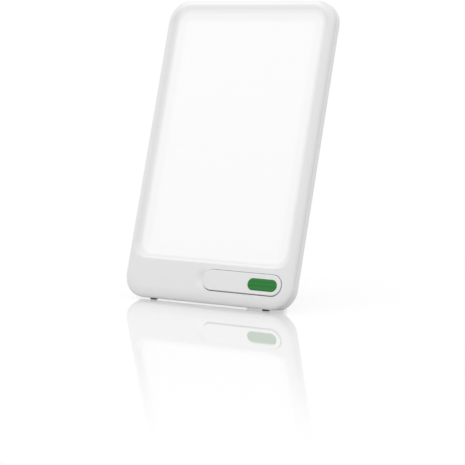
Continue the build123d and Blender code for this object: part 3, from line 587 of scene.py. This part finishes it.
def dotted(name, low, high):
    """Tinted gloss plastic with a fine field of raised dots, 0.9 mm apart."""
    material, tree = new_material(name)
    place = add_node(tree, "ShaderNodeTexCoord")
    cells = add_node(tree, "ShaderNodeTexVoronoi",
                     {"Scale": 1.0 / (0.9 * MM), "Randomness": 0.0},
                     {"Vector": place.outputs["Object"]})
    dots = add_node(tree, "ShaderNodeMapRange",
                    {"interpolation_type": "SMOOTHSTEP", "From Min": 0.25, "From Max": 0.55,
                     "To Min": 1.0, "To Max": 0.0}, {"Value": cells.outputs["Distance"]})
    tint = add_node(tree, "ShaderNodeMix", {"data_type": "RGBA", 6: (*low, 1.0), 7: (*high, 1.0)},
                    {0: dots.outputs[0]})
    bump = add_node(tree, "ShaderNodeBump", {"Strength": 0.3, "Distance": 0.03 * MM},
                    {"Height": dots.outputs[0]})
    shader = add_node(tree, "ShaderNodeBsdfPrincipled", {"IOR": 1.46, "Roughness": 0.35},
                      {"Base Color": tint.outputs[2], "Normal": bump.outputs[0]})
    add_node(tree, "ShaderNodeOutputMaterial", links={"Surface": shader.outputs[0]})
    return material


def metal(name, base, roughness):
    """Bare or plated metal, with fine drawing lines that draw its reflections out."""
    material, tree = new_material(name)
    place = add_node(tree, "ShaderNodeTexCoord")
    drawn = add_node(tree, "ShaderNodeMapping", {"Scale": (0.1, 1.0, 1.0)},
                     {"Vector": place.outputs["Object"]})
    lines = add_node(tree, "ShaderNodeTexNoise", {"Scale": 1.0 / (0.25 * MM), "Detail": 2.0},
                     {"Vector": drawn.outputs[0]})
    gloss = add_node(tree, "ShaderNodeMapRange",
                     {"To Min": roughness - 0.07, "To Max": roughness + 0.07},
                     {"Value": lines.outputs["Fac"]})
    bump = add_node(tree, "ShaderNodeBump", {"Strength": 0.2, "Distance": 0.002 * MM},
                    {"Height": lines.outputs["Fac"]})
    shader = add_node(tree, "ShaderNodeBsdfPrincipled", {"Base Color": (*base, 1.0), "Metallic": 1.0},
                      {"Roughness": gloss.outputs[0], "Normal": bump.outputs[0]})
    add_node(tree, "ShaderNodeOutputMaterial", links={"Surface": shader.outputs[0]})
    return material


FINISHES = {}


def make_finishes(colours):
    """Every finish on the lamp, named for what it is and how its surface was made."""
    FINISHES.update({
        "shell": moulded("white ABS, eroded grain", colours.shell, 0.42),
        # The frame is a lit copy of the shell's white: it carries a painted glow round the window.
        "frame": moulded("white ABS, painted glow at the window", colours.shell, 0.42),
        "opal": moulded("opal acrylic, satin", colours.opal, 0.42, height=0.002, drift=0.004, ior=1.49),
        "green": dotted("green polycarbonate, dotted", colours.green_dark, colours.green),
        "rubber": moulded("dark rubber, moulded", colours.rubber, 0.8),
        "reflector": moulded("reflector white, matte", colours.opal, 0.7),
        "board": moulded("circuit board, lacquered", colours.board, 0.35),
        "black": moulded("black nylon, moulded", colours.black, 0.45),
        "nylon": moulded("natural nylon, moulded", colours.nylon, 0.5),
        "sleeve": moulded("wire sleeve, extruded PVC", colours.sleeve, 0.4),
        "phosphor": moulded("phosphor resin, cast", colours.phosphor, 0.35),
        "ferrite": moulded("ferrite, sintered", colours.ferrite, 0.6),
        "steel": metal("steel, zinc plated", colours.steel, 0.32),
        "brass": metal("brass, plated", colours.brass, 0.25),
        "can": metal("aluminium, drawn", colours.can, 0.3),
    })
    above = bpy.context.scene.lamp_window.painted_glow_above
    # The diffuser glows with its own light. The frame's glow is painted light, raised at the top as a painted
    # highlight.
    for name, rise in (("frame", above), ("opal", 0.0)):
        add_lamp_glow_and_painted_spill(FINISHES[name], rise)


NODE_FINISHES = {
    "front_housing": "shell", "rear_housing": "shell", "key": "shell", "leg": "shell",
    "diffuser": "opal", "green_pad": "green", "front_feet": "rubber", "leg_pad": "rubber",
    "reflector_tray": "reflector", "led_board": "reflector", "led_packages": "phosphor",
    "control_board": "board", "switch_board": "board", "board_screws": "steel",
    "case_screws": "steel", "hinge_pin": "steel", "hinge_clips": "steel", "key_pin": "steel",
    "hinge_washers": "nylon", "dc_jack": "black", "switch_body": "black", "driver_chip": "black",
    "power_inductor": "ferrite", "smoothing_capacitors": "can", "switch_plunger": "nylon",
    "lead_connectors": "nylon", "jack_pin": "brass", "switch_lead": "sleeve", "light_lead": "sleeve",
}


# Outlines in the panel's frame

def panel_outline():
    shell = bpy.context.scene.lamp_shell
    return 0.0, shell.height / 2, shell.width, shell.height, shell.corner


def window_outline():
    shell, window = bpy.context.scene.lamp_shell, bpy.context.scene.lamp_window
    top = shell.height - window.top
    return 0.0, (top + window.bottom) / 2, shell.width - 2 * window.side, top - window.bottom, window.corner


def pod_outline():
    back = bpy.context.scene.lamp_back
    high = back.pod_high - back.pod_low
    return 0.0, back.pod_low + high / 2, back.pod_wide, high, back.pod_corner


def recess_outline():
    """The leg's recess, which runs out of the pod's lower end."""
    back = bpy.context.scene.lamp_back
    below, corner = 8 * MM, 1.0 * MM
    return 0.0, (back.recess_high - below) / 2, back.recess_wide, back.recess_high + below, corner


def round_outline(x, y, radius):
    return x, y, 2 * radius, 2 * radius, radius


def key_outline():
    key = bpy.context.scene.lamp_key
    return key.middle_x, key.pivot_up - key.middle_down, key.long, key.high, key.high / 2


def cap_outline():
    key = bpy.context.scene.lamp_key
    x, y = key.middle_x + key.cap_right, key.pivot_up - key.cap_down
    return x, y, key.cap_long, key.cap_high, key.cap_high / 2


def screw_places():
    """Where the four case screws stand, in the panel's frame."""
    return [(side * x, y) for side in (-1, 1) for x, y in SCREWS_AT]


# Pieces

class LAMP_OT_front_frame(bpy.types.Operator):
    """Model the front frame, with its rounded edge, dish, window and key opening"""
    bl_idname = "lamp.front_frame"
    bl_label = "Front frame"

    def execute(self, context):
        shell, window, key = context.scene.lamp_shell, context.scene.lamp_window, context.scene.lamp_key
        above, below = 2 * MM, 9 * MM
        piece = plate("front_frame", panel_outline(), -shell.seam)
        push(shell.seam - shell.round_deep)
        step_in(quarter_round(shell.round_wide, SOFT_STEPS, shell.round_deep) + FLAT_RIM)
        break_edge(-shell.seam, shell.seam_edge)
        done(piece)

        tongue = block("tongue", grown(panel_outline(), shell.tongue - shell.wall),
                       -shell.seam - shell.tongue_long, -shell.seam + OVER)
        cut(piece, tongue, "UNION")
        hollow = block("hollow", grown(panel_outline(), -shell.wall), -below, -shell.wall)
        cut(hollow, block("lip", grown(window_outline(), window.lip_width), -window.lip_depth, above))
        cut(piece, hollow)

        dish = plate("dish", grown(window_outline(), window.dish_width), above, facing_up=False)
        push(above)
        step_in(soft_step(window.dish_width, window.dish_depth, SOFT_STEPS))
        self.follow_round(shell, above)
        pick("VERT", lambda middle, vert: middle.y < window.bottom)
        bpy.ops.transform.resize(value=(1.0, window.dish_low, 1.0), center_override=(0.0, window.bottom, 0.0))
        pick("FACE", lambda middle, face: len(face.verts) > 8 and middle.z < above / 2)
        push(below)
        cut(piece, done(dish))

        x, y, *size = grown(key_outline(), key.gap)
        open_into(piece, (x + key.gap_shift, y - key.gap_shift, *size), 0.0, below, key.lip)
        outline = round_outline(-key.scoop_x, key.pivot_up, key.scoop)
        scoop = plate("scoop", outline, above, facing_up=False, segments=20)
        push(above)
        step_in(soft_step(key.scoop * SCOOP_SLOPE, key.scoop_depth, SOFT_STEPS))
        cut(piece, done(scoop))
        piece.name = "front_frame"
        stand(piece)
        fit(piece, "housing", "white_plastic", FINISHES["frame"], "front_housing")
        return {"FINISHED"}

    def follow_round(self, shell, above):
        """Sink the dish by as much as the frame's soft round falls away, so that no ridge is left."""
        mesh = bmesh.from_edit_mesh(bpy.context.edit_object.data)
        for vert in mesh.verts:
            share = 1 - inside(panel_outline(), vert.co) / shell.round_wide
            if vert.co.z < above / 2 and share > 0.0:
                vert.co.z -= shell.round_deep * (1 - math.sqrt(1 - min(share, 1.0) ** 2))
        bmesh.update_edit_mesh(bpy.context.edit_object.data)


class LAMP_OT_rear_shell(bpy.types.Operator):
    """Model the rear shell, with its pod, the leg's recess, vents and openings"""
    bl_idname = "lamp.rear_shell"
    bl_label = "Rear shell"

    def execute(self, context):
        shell, back = context.scene.lamp_shell, context.scene.lamp_back
        piece = self.outside(shell, back)
        self.hollow_out(piece, shell, back)
        self.open_back(piece, shell, back)
        self.add_posts(piece, shell, back)
        stand(piece)
        trim_below(piece, back.floor_gap)
        self.seat_feet(piece, back)
        piece.name = "rear_shell"
        fit(piece, "housing", "white_plastic", FINISHES["shell"], "rear_housing")
        return {"FINISHED"}

    def outside(self, shell, back):
        """The shell's body and the pod on its back, with a hollow round between them."""
        front = -shell.seam - shell.seam_gap
        piece = plate("rear_shell", panel_outline(), front, facing_up=False)
        push(back.depth + front - back.round)
        step_in(quarter_round(back.round, 8) + FLAT_RIM)
        break_edge(front, shell.seam_edge)
        done(piece)
        pod = plate("pod", grown(pod_outline(), back.pod_foot), -back.depth + shell.wall / 2, facing_up=False)
        push(shell.wall / 2)
        step_in(hollow_round(back.pod_foot, 4))
        push(back.pod_depth - back.depth - back.pod_foot - back.pod_round)
        step_in(quarter_round(back.pod_round, 8) + FLAT_RIM)
        cut(piece, done(pod), "UNION")
        return piece

    def hollow_out(self, piece, shell, back):
        """The room inside the shell and the pod's two chambers beside the recess."""
        gap = 0.15 * MM
        room = block("room", grown(panel_outline(), -shell.wall), -back.depth + shell.wall,
                     -shell.seam + 2 * OVER)
        wall = (0.0, 0.0, shell.width, 2 * back.lower_wall, 0.1 * MM)
        cut(room, block("wall", wall, -back.depth, 0.0, segments=1))
        cut(piece, room)
        rebate = grown(panel_outline(), shell.tongue + gap - shell.wall)
        cut(piece, block("rebate", rebate, -shell.seam - shell.tongue_long - gap, 0.0))
        chambers = block("chambers", grown(pod_outline(), -shell.wall), -back.pod_depth + shell.wall,
                         -back.depth + 2 * shell.wall)
        cut(chambers, block("recess", grown(recess_outline(), shell.wall), -back.pod_depth - OVER,
                            -back.recess_depth + shell.wall, segments=4))
        cut(piece, chambers)

    def open_back(self, piece, shell, back):
        """The recess, the cooling slots, the label's place and the inlet's hole."""
        open_into(piece, recess_outline(), -back.pod_depth, back.pod_depth - back.recess_depth,
                  back.rim, facing_up=True, segments=4)
        for side in (-1, 1):
            for row in range(back.vents):
                up = back.vent_up + (row - (back.vents - 1) / 2) * back.vent_pitch
                slot = (side * back.vent_x, up, back.vent_long, back.vent_high, back.vent_high / 2)
                open_into(piece, slot, -back.pod_depth, shell.wall + OVER, back.rim,
                          facing_up=True, segments=10)
        label = (0.0, back.plate_up, back.plate_wide, back.plate_high, 1.5 * MM)
        open_into(piece, label, -back.depth, back.plate_deep, 0.15 * MM, facing_up=True, segments=8)
        hole = rod("hole", (-back.pod_wide / 2, back.inlet_up, -back.inlet_depth), back.inlet_hole,
                   4 * shell.wall, "X")
        cut(piece, hole)

    def add_posts(self, piece, shell, back):
        """Posts for the case screws, and bosses for the leg's pin."""
        leg = bpy.context.scene.lamp_leg
        seat_thick, bore = 1.65 * MM, 1.05 * MM
        through = 8 * MM
        for x, y in screw_places():
            top, bottom = -back.screw_seat + seat_thick, -back.depth + shell.wall / 2
            cut(piece, block("post", round_outline(x, y, back.boss), bottom, top, segments=8), "UNION")
            open_into(piece, round_outline(x, y, back.screw_hole), -back.depth,
                      back.depth - back.screw_seat, 0.25 * MM, facing_up=True, segments=8)
            cut(piece, rod("bore", (x, y, -back.screw_seat), bore, through, sides=24))
        for side in (-1, 1):
            middle = Vector((side * (back.recess_wide / 2 + shell.wall), leg.hinge_up, -leg.hinge_depth))
            cut(piece, rod("boss", middle, leg.barrel, leg.boss_long, "X"), "UNION")
            cut(piece, rod("bore", middle, leg.bore, through, "X"))

    def seat_feet(self, piece, back):
        """Pockets that the two rubber feet stand in."""
        low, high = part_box("front_feet")
        for side in (-1, 1):
            foot = (side * (high.x - back.foot_wide / 2), (low.y + high.y) / 2,
                    back.foot_wide, high.y - low.y, back.foot_corner)
            cut(piece, block("pocket", grown(foot, back.foot_gap), -OVER, high.z, segments=5))


class LAMP_OT_case_screws(bpy.types.Operator):
    """Model one case screw with a cross recess, and copy it to its four holes"""
    bl_idname = "lamp.case_screws"
    bl_label = "Case screws"

    def execute(self, context):
        first = self.screw(context.scene.lamp_back.screw_seat)
        places = screw_places()
        pieces = [first]
        for _ in places[1:]:
            copy = first.copy()
            copy.data = first.data.copy()
            context.collection.objects.link(copy)
            pieces.append(copy)
        for number, (piece, (x, y)) in enumerate(zip(pieces, places), 1):
            piece.name = f"case_screw_{number}"
            move(piece, Matrix.Translation((x, y, 0.0)))
            stand(piece)
            fit(piece, "housing", "steel", FINISHES["steel"], "case_screws")
        return {"FINISHED"}

    def screw(self, seat):
        """A pan-head screw with its head towards the back."""
        head_radius, head_high, head_round = 1.6 * MM, 0.9 * MM, 0.5 * MM
        crown = [(0.3 * MM, 0.03 * MM), (0.3 * MM, 0.01 * MM)]
        shank_radius, shank_long, in_head = 1.0 * MM, 6 * MM, 0.2 * MM
        cross_long, cross_wide, cross_floor, corner = 2.0 * MM, 0.45 * MM, 0.7 * MM, 0.05 * MM
        head = plate("case_screw", round_outline(0.0, 0.0, head_radius), -seat, facing_up=False, segments=8)
        push(head_high)
        step_in(quarter_round(head_round, 4) + crown)
        done(head)
        shank = round_outline(0.0, 0.0, shank_radius)
        cut(head, block("shank", shank, -seat - in_head, -seat + shank_long, segments=6), "UNION")
        for long, high in ((cross_long, cross_wide), (cross_wide, cross_long)):
            arm = (0.0, 0.0, long, high, corner)
            cut(head, block("cross", arm, -seat - 3 * OVER, -seat - cross_floor, segments=1))
        return head


class LAMP_OT_stand_leg(bpy.types.Operator):
    """Model the fold-out leg, with its ribs, hinge barrel and heel"""
    bl_idname = "lamp.stand_leg"
    bl_label = "Stand leg"

    def execute(self, context):
        leg = context.scene.lamp_leg
        hinge = JOINTS["leg_fold"]
        fold = Matrix.Rotation(math.radians(hinge["range_deg"][1]), 4, "X")
        reach = Vector(hinge["pos_m"]).z * 1.05
        piece = self.beam(leg, reach)
        self.lighten(piece, leg, reach)
        cut(piece, self.barrel(leg), "UNION")
        outline = (0.0, leg.heel_high / 2, leg.barrel_long - 2 * leg.wall, leg.heel_high, 0.6 * MM)
        heel = block("heel", outline, 0.0, leg.heel_deep, segments=4)
        move(heel, fold.inverted())
        cut(piece, heel, "UNION")
        cut(piece, rod("bore", (0.0, 0.0, 0.0), leg.bore, 2 * leg.barrel_long, "X"))
        move(piece, Matrix.Translation((0.0, leg.hinge_up, -leg.hinge_depth)) @ fold)
        stand(piece)
        trim_below(piece, leg.pad)
        piece.name = "stand_leg"
        fit(piece, "leg", "white_plastic", FINISHES["shell"], "leg")
        return {"FINISHED"}

    def beam(self, leg, reach):
        """The flat leg, rounded on its outer side and wider at its foot."""
        outline = (0.0, -reach / 2, leg.wide, reach, 2 * leg.edge)
        piece = plate("stand_leg", outline, leg.thick / 2 - leg.set_back, facing_up=False, segments=6)
        push(leg.thick - leg.edge)
        step_in(quarter_round(leg.edge, 4) + FLAT_RIM)
        pick("VERT", lambda middle, vert: middle.y < -reach / 2)
        bpy.ops.transform.resize(value=(leg.foot_wide / leg.wide, 1.0, 1.0),
                                 center_override=(0.0, -reach, 0.0))
        return done(piece)

    def lighten(self, piece, leg, reach):
        """Hollows between the ribs on the inner side."""
        start, end = leg.barrel + leg.wall, reach * 0.9
        bay = (end - start) / leg.bays
        for number in range(leg.bays):
            middle = start + bay * (number + 0.5)
            wide = leg.wide + (leg.foot_wide - leg.wide) * middle / reach - 2 * leg.wall
            outline = (0.0, -middle, wide, bay - leg.wall, 1.0 * MM)
            open_into(piece, outline, leg.thick / 2 - leg.set_back, leg.bay_deep, 0.25 * MM, segments=4)

    def barrel(self, leg):
        """The barrel that turns on the hinge pin, with broken ends."""
        barrel = rod("barrel", (0.0, 0.0, 0.0), leg.barrel, leg.barrel_long, "X", sides=64)
        bpy.ops.object.mode_set(mode="EDIT")
        pick("EDGE", lambda middle, edge: abs(edge.verts[0].co.x - edge.verts[1].co.x) < NEAR)
        bpy.ops.mesh.bevel(offset=0.4 * MM, segments=2, affect="EDGES")
        return done(barrel)


class LAMP_OT_diffuser(bpy.types.Operator):
    """Model the opal diffuser, with its sloping border and its flange"""
    bl_idname = "lamp.diffuser"
    bl_label = "Diffuser"

    def execute(self, context):
        window = context.scene.lamp_window
        back = -window.lip_depth - window.flange_thick
        piece = plate("diffuser_plate", grown(window_outline(), window.flange), back)
        push(window.flange_thick)
        step_in([(window.flange + window.gap, 0.0)])
        push(window.lip_depth - window.dish_depth - window.edge)
        step_in(quarter_round(window.edge, 4))
        step_in(soft_step(window.band_width, window.dish_depth - window.field_depth, 10))
        step_in(FLAT_RIM)
        pick("FACE", lambda middle, face: middle.z < back + NEAR)
        step_in([(window.flange + 3 * MM, 0.0), (0.5 * MM, -window.recess)])
        stand(done(piece))
        fit(piece, "housing", "opal_plastic", FINISHES["opal"], "diffuser")
        return {"FINISHED"}


class LAMP_OT_key(bpy.types.Operator):
    """Model the pill-shaped rocker key with the pocket for its green cap"""
    bl_idname = "lamp.key"
    bl_label = "Rocker key"

    def execute(self, context):
        key = context.scene.lamp_key
        piece = plate("rocker_key", key_outline(), -key.skirt)
        push(key.skirt + key.proud - key.edge)
        step_in(quarter_round(key.edge, 5) + [(0.25 * MM, 0.0)])
        done(piece)
        pocket = plate("pocket", grown(cap_outline(), key.cap_gap), 0.0)
        push(2 * key.proud)
        cut(piece, done(pocket))
        stand(piece)
        fit(piece, "key", "white_plastic", FINISHES["shell"], "key")
        return {"FINISHED"}


class LAMP_OT_green_cap(bpy.types.Operator):
    """Model the green cap with its rounded edge and slight crown"""
    bl_idname = "lamp.green_cap"
    bl_label = "Green cap"

    def execute(self, context):
        key = context.scene.lamp_key
        crown = 0.12 * MM
        piece = plate("green_pad_cap", cap_outline(), 0.0)
        push(key.cap_thick - key.cap_edge - crown)
        step_in(quarter_round(key.cap_edge, 4))
        step_in([(0.9 * MM, crown * 0.5), (0.9 * MM, crown * 0.28), (0.9 * MM, crown * 0.16),
                 (0.9 * MM, crown * 0.06)])
        stand(done(piece))
        fit(piece, "key", "green_plastic", FINISHES["green"], "green_pad")
        return {"FINISHED"}


class LAMP_OT_small_parts(bpy.types.Operator):
    """Give every packed node its finish"""
    bl_idname = "lamp.small_parts"
    bl_label = "Finishes of the packed nodes"

    def execute(self, context):
        for name, node in frame["nodes"].items():
            dress(node, FINISHES[NODE_FINISHES[name]])
        return {"FINISHED"}


class LAMP_OT_finishes(bpy.types.Operator):
    """Make the materials from the colours"""
    bl_idname = "lamp.finishes"
    bl_label = "Materials"

    def execute(self, context):
        make_finishes(context.scene.lamp_colours)
        return {"FINISHED"}


class LAMP_OT_stage(bpy.types.Operator):
    """Set the floor, the lights, the room and the camera"""
    bl_idname = "lamp.stage"
    bl_label = "Stage"

    def execute(self, context):
        settings = context.scene.lamp_stage
        self.lay_floor(settings)
        self.fill_room(context, settings)
        self.hang_light(settings)
        self.aim_camera(context, settings)
        context.scene.view_settings.view_transform = "Standard"
        return {"FINISHED"}

    def lay_floor(self, settings):
        """Polished glass table, which fades out away from the lamp so that no edge shows.

        Light that it gives back to the lamp comes from a plainer, darker floor that fades out too."""
        bpy.ops.object.select_all(action="DESELECT")
        bpy.ops.mesh.primitive_plane_add(size=FLOOR_SIZE, location=FLOOR_MIDDLE)
        bpy.ops.object.transform_apply(location=True, rotation=True, scale=True)
        floor = bpy.context.object
        floor.name = "floor"
        material, tree = new_material("opal glass table, polished")
        place = add_node(tree, "ShaderNodeTexCoord")
        away = add_node(tree, "ShaderNodeVectorMath", {"operation": "LENGTH"},
                        {0: place.outputs["Object"]})
        most = {"matt": settings.floor_matt, "mirror": settings.floor_mirror, "bounce": 1.0}
        share = {}
        for name, (near, far) in FLOOR_FADES.items():
            fade = add_node(tree, "ShaderNodeMapRange",
                            {"interpolation_type": "SMOOTHSTEP", "From Min": near, "From Max": far,
                             "To Min": most[name], "To Max": 0.0}, {"Value": away.outputs["Value"]})
            share[name] = fade.outputs[0]
        clear = add_node(tree, "ShaderNodeBsdfTransparent").outputs[0]
        body = add_node(tree, "ShaderNodeBsdfDiffuse", {"Color": (*settings.floor, 1.0)})
        gloss = add_node(tree, "ShaderNodeBsdfGlossy", {"Color": (1.0, 1.0, 1.0, 1.0), "Roughness": 0.04})
        shade = add_node(tree, "ShaderNodeBsdfDiffuse", {"Color": (*settings.floor_bounce, 1.0)})
        glass = add_node(tree, "ShaderNodeMixShader",
                         links={0: share["matt"], 1: clear, 2: body.outputs[0]})
        table = add_node(tree, "ShaderNodeMixShader",
                         links={0: share["mirror"], 1: glass.outputs[0], 2: gloss.outputs[0]})
        bounce = add_node(tree, "ShaderNodeMixShader",
                          links={0: share["bounce"], 1: clear, 2: shade.outputs[0]})
        path = add_node(tree, "ShaderNodeLightPath")
        seen = add_node(tree, "ShaderNodeMixShader",
                        links={0: path.outputs["Is Diffuse Ray"], 1: table.outputs[0], 2: bounce.outputs[0]})
        add_node(tree, "ShaderNodeOutputMaterial", links={"Surface": seen.outputs[0]})
        dress(floor, material)

    def fill_room(self, context, settings):
        """Soft light from all round; the camera, gloss and glass see plain white."""
        world = bpy.data.worlds.new("room")
        world.use_nodes = True
        tree = world.node_tree
        tree.nodes.clear()
        path = add_node(tree, "ShaderNodeLightPath")
        gloss_too = add_node(tree, "ShaderNodeMath", {"operation": "MAXIMUM"},
                             {0: path.outputs["Is Camera Ray"], 1: path.outputs["Is Glossy Ray"]})
        glass_too = add_node(tree, "ShaderNodeMath", {"operation": "MAXIMUM"},
                             {0: gloss_too.outputs[0], 1: path.outputs["Is Transmission Ray"]})
        place = add_node(tree, "ShaderNodeTexCoord")
        way = add_node(tree, "ShaderNodeSeparateXYZ", links={0: place.outputs["Generated"]})
        light = add_node(tree, "ShaderNodeMapRange",
                         {"interpolation_type": "SMOOTHSTEP", "From Min": -0.2, "From Max": 1.0,
                          "To Min": settings.room, "To Max": settings.room_above},
                         {"Value": way.outputs["Z"]})
        strength = add_node(tree, "ShaderNodeMix", {3: 1.0}, {0: glass_too.outputs[0], 2: light.outputs[0]})
        background = add_node(tree, "ShaderNodeBackground", {"Color": (1.0, 1.0, 1.0, 1.0)},
                              {"Strength": strength.outputs[0]})
        add_node(tree, "ShaderNodeOutputWorld", links={"Surface": background.outputs[0]})
        context.scene.world = world

    def hang_light(self, settings):
        """A square soft light that faces the lamp."""
        bpy.ops.object.select_all(action="DESELECT")
        bpy.ops.object.light_add(type="AREA", location=settings.light_place)
        light = bpy.context.object
        light.name = "main light"
        light.data.shape = "SQUARE"
        light.data.size = settings.light_size
        light.data.energy = settings.main_light
        aim = Vector(LIGHT_AIM) - light.location
        light.rotation_euler = aim.to_track_quat("-Z", "Y").to_euler()

    def aim_camera(self, context, settings):
        bpy.ops.object.select_all(action="DESELECT")
        bpy.ops.object.camera_add()
        camera = bpy.context.object
        camera.data.lens = settings.camera_lens
        camera.data.sensor_width = 36.0
        camera.data.clip_start = 0.01
        camera.matrix_world = (Matrix.Translation(settings.camera_place)
                               @ Matrix.Rotation(settings.camera_azimuth, 4, "Z")
                               @ Matrix.Rotation(math.pi / 2 - settings.camera_fall, 4, "X")
                               @ Matrix.Rotation(settings.camera_roll, 4, "Z"))
        context.scene.camera = camera


class LAMP_PT_panel(bpy.types.Panel):
    """The lamp's steps and sizes"""
    bl_idname = "LAMP_PT_panel"
    bl_label = "Light Therapy Lamp"
    bl_space_type = "VIEW_3D"
    bl_region_type = "UI"
    bl_category = "Lamp"

    def draw(self, context):
        for step in STEPS:
            self.layout.operator(step.bl_idname)
        for name, group in SETTINGS.items():
            box = self.layout.box()
            box.label(text=group.__doc__)
            for field in group.__annotations__:
                box.prop(getattr(context.scene, name), field)


SETTINGS = {"lamp_shell": LampShellSizes, "lamp_back": LampBackSizes, "lamp_leg": LampLegSizes,
            "lamp_window": LampWindowSizes, "lamp_key": LampKeySizes, "lamp_colours": LampColours,
            "lamp_stage": LampStageSettings}
STEPS = (LAMP_OT_finishes, LAMP_OT_small_parts, LAMP_OT_front_frame, LAMP_OT_rear_shell,
         LAMP_OT_case_screws, LAMP_OT_stand_leg, LAMP_OT_diffuser, LAMP_OT_key,
         LAMP_OT_green_cap, LAMP_OT_stage)


def register():
    for name, group in SETTINGS.items():
        bpy.utils.register_class(group)
        setattr(bpy.types.Scene, name, PointerProperty(type=group))
    for kind in (*STEPS, LAMP_PT_panel):
        bpy.utils.register_class(kind)


def unregister():
    for kind in (LAMP_PT_panel, *reversed(STEPS)):
        bpy.utils.unregister_class(kind)
    for name, group in SETTINGS.items():
        delattr(bpy.types.Scene, name)
        bpy.utils.unregister_class(group)


def main():
    register()
    bpy.ops.lamp.finishes()
    bpy.ops.lamp.small_parts()
    bpy.ops.lamp.front_frame()
    bpy.ops.lamp.rear_shell()
    bpy.ops.lamp.case_screws()
    bpy.ops.lamp.stand_leg()
    bpy.ops.lamp.diffuser()
    bpy.ops.lamp.key()
    bpy.ops.lamp.green_cap()
    bpy.ops.lamp.stage()


if __name__ == "__main__":
    main()
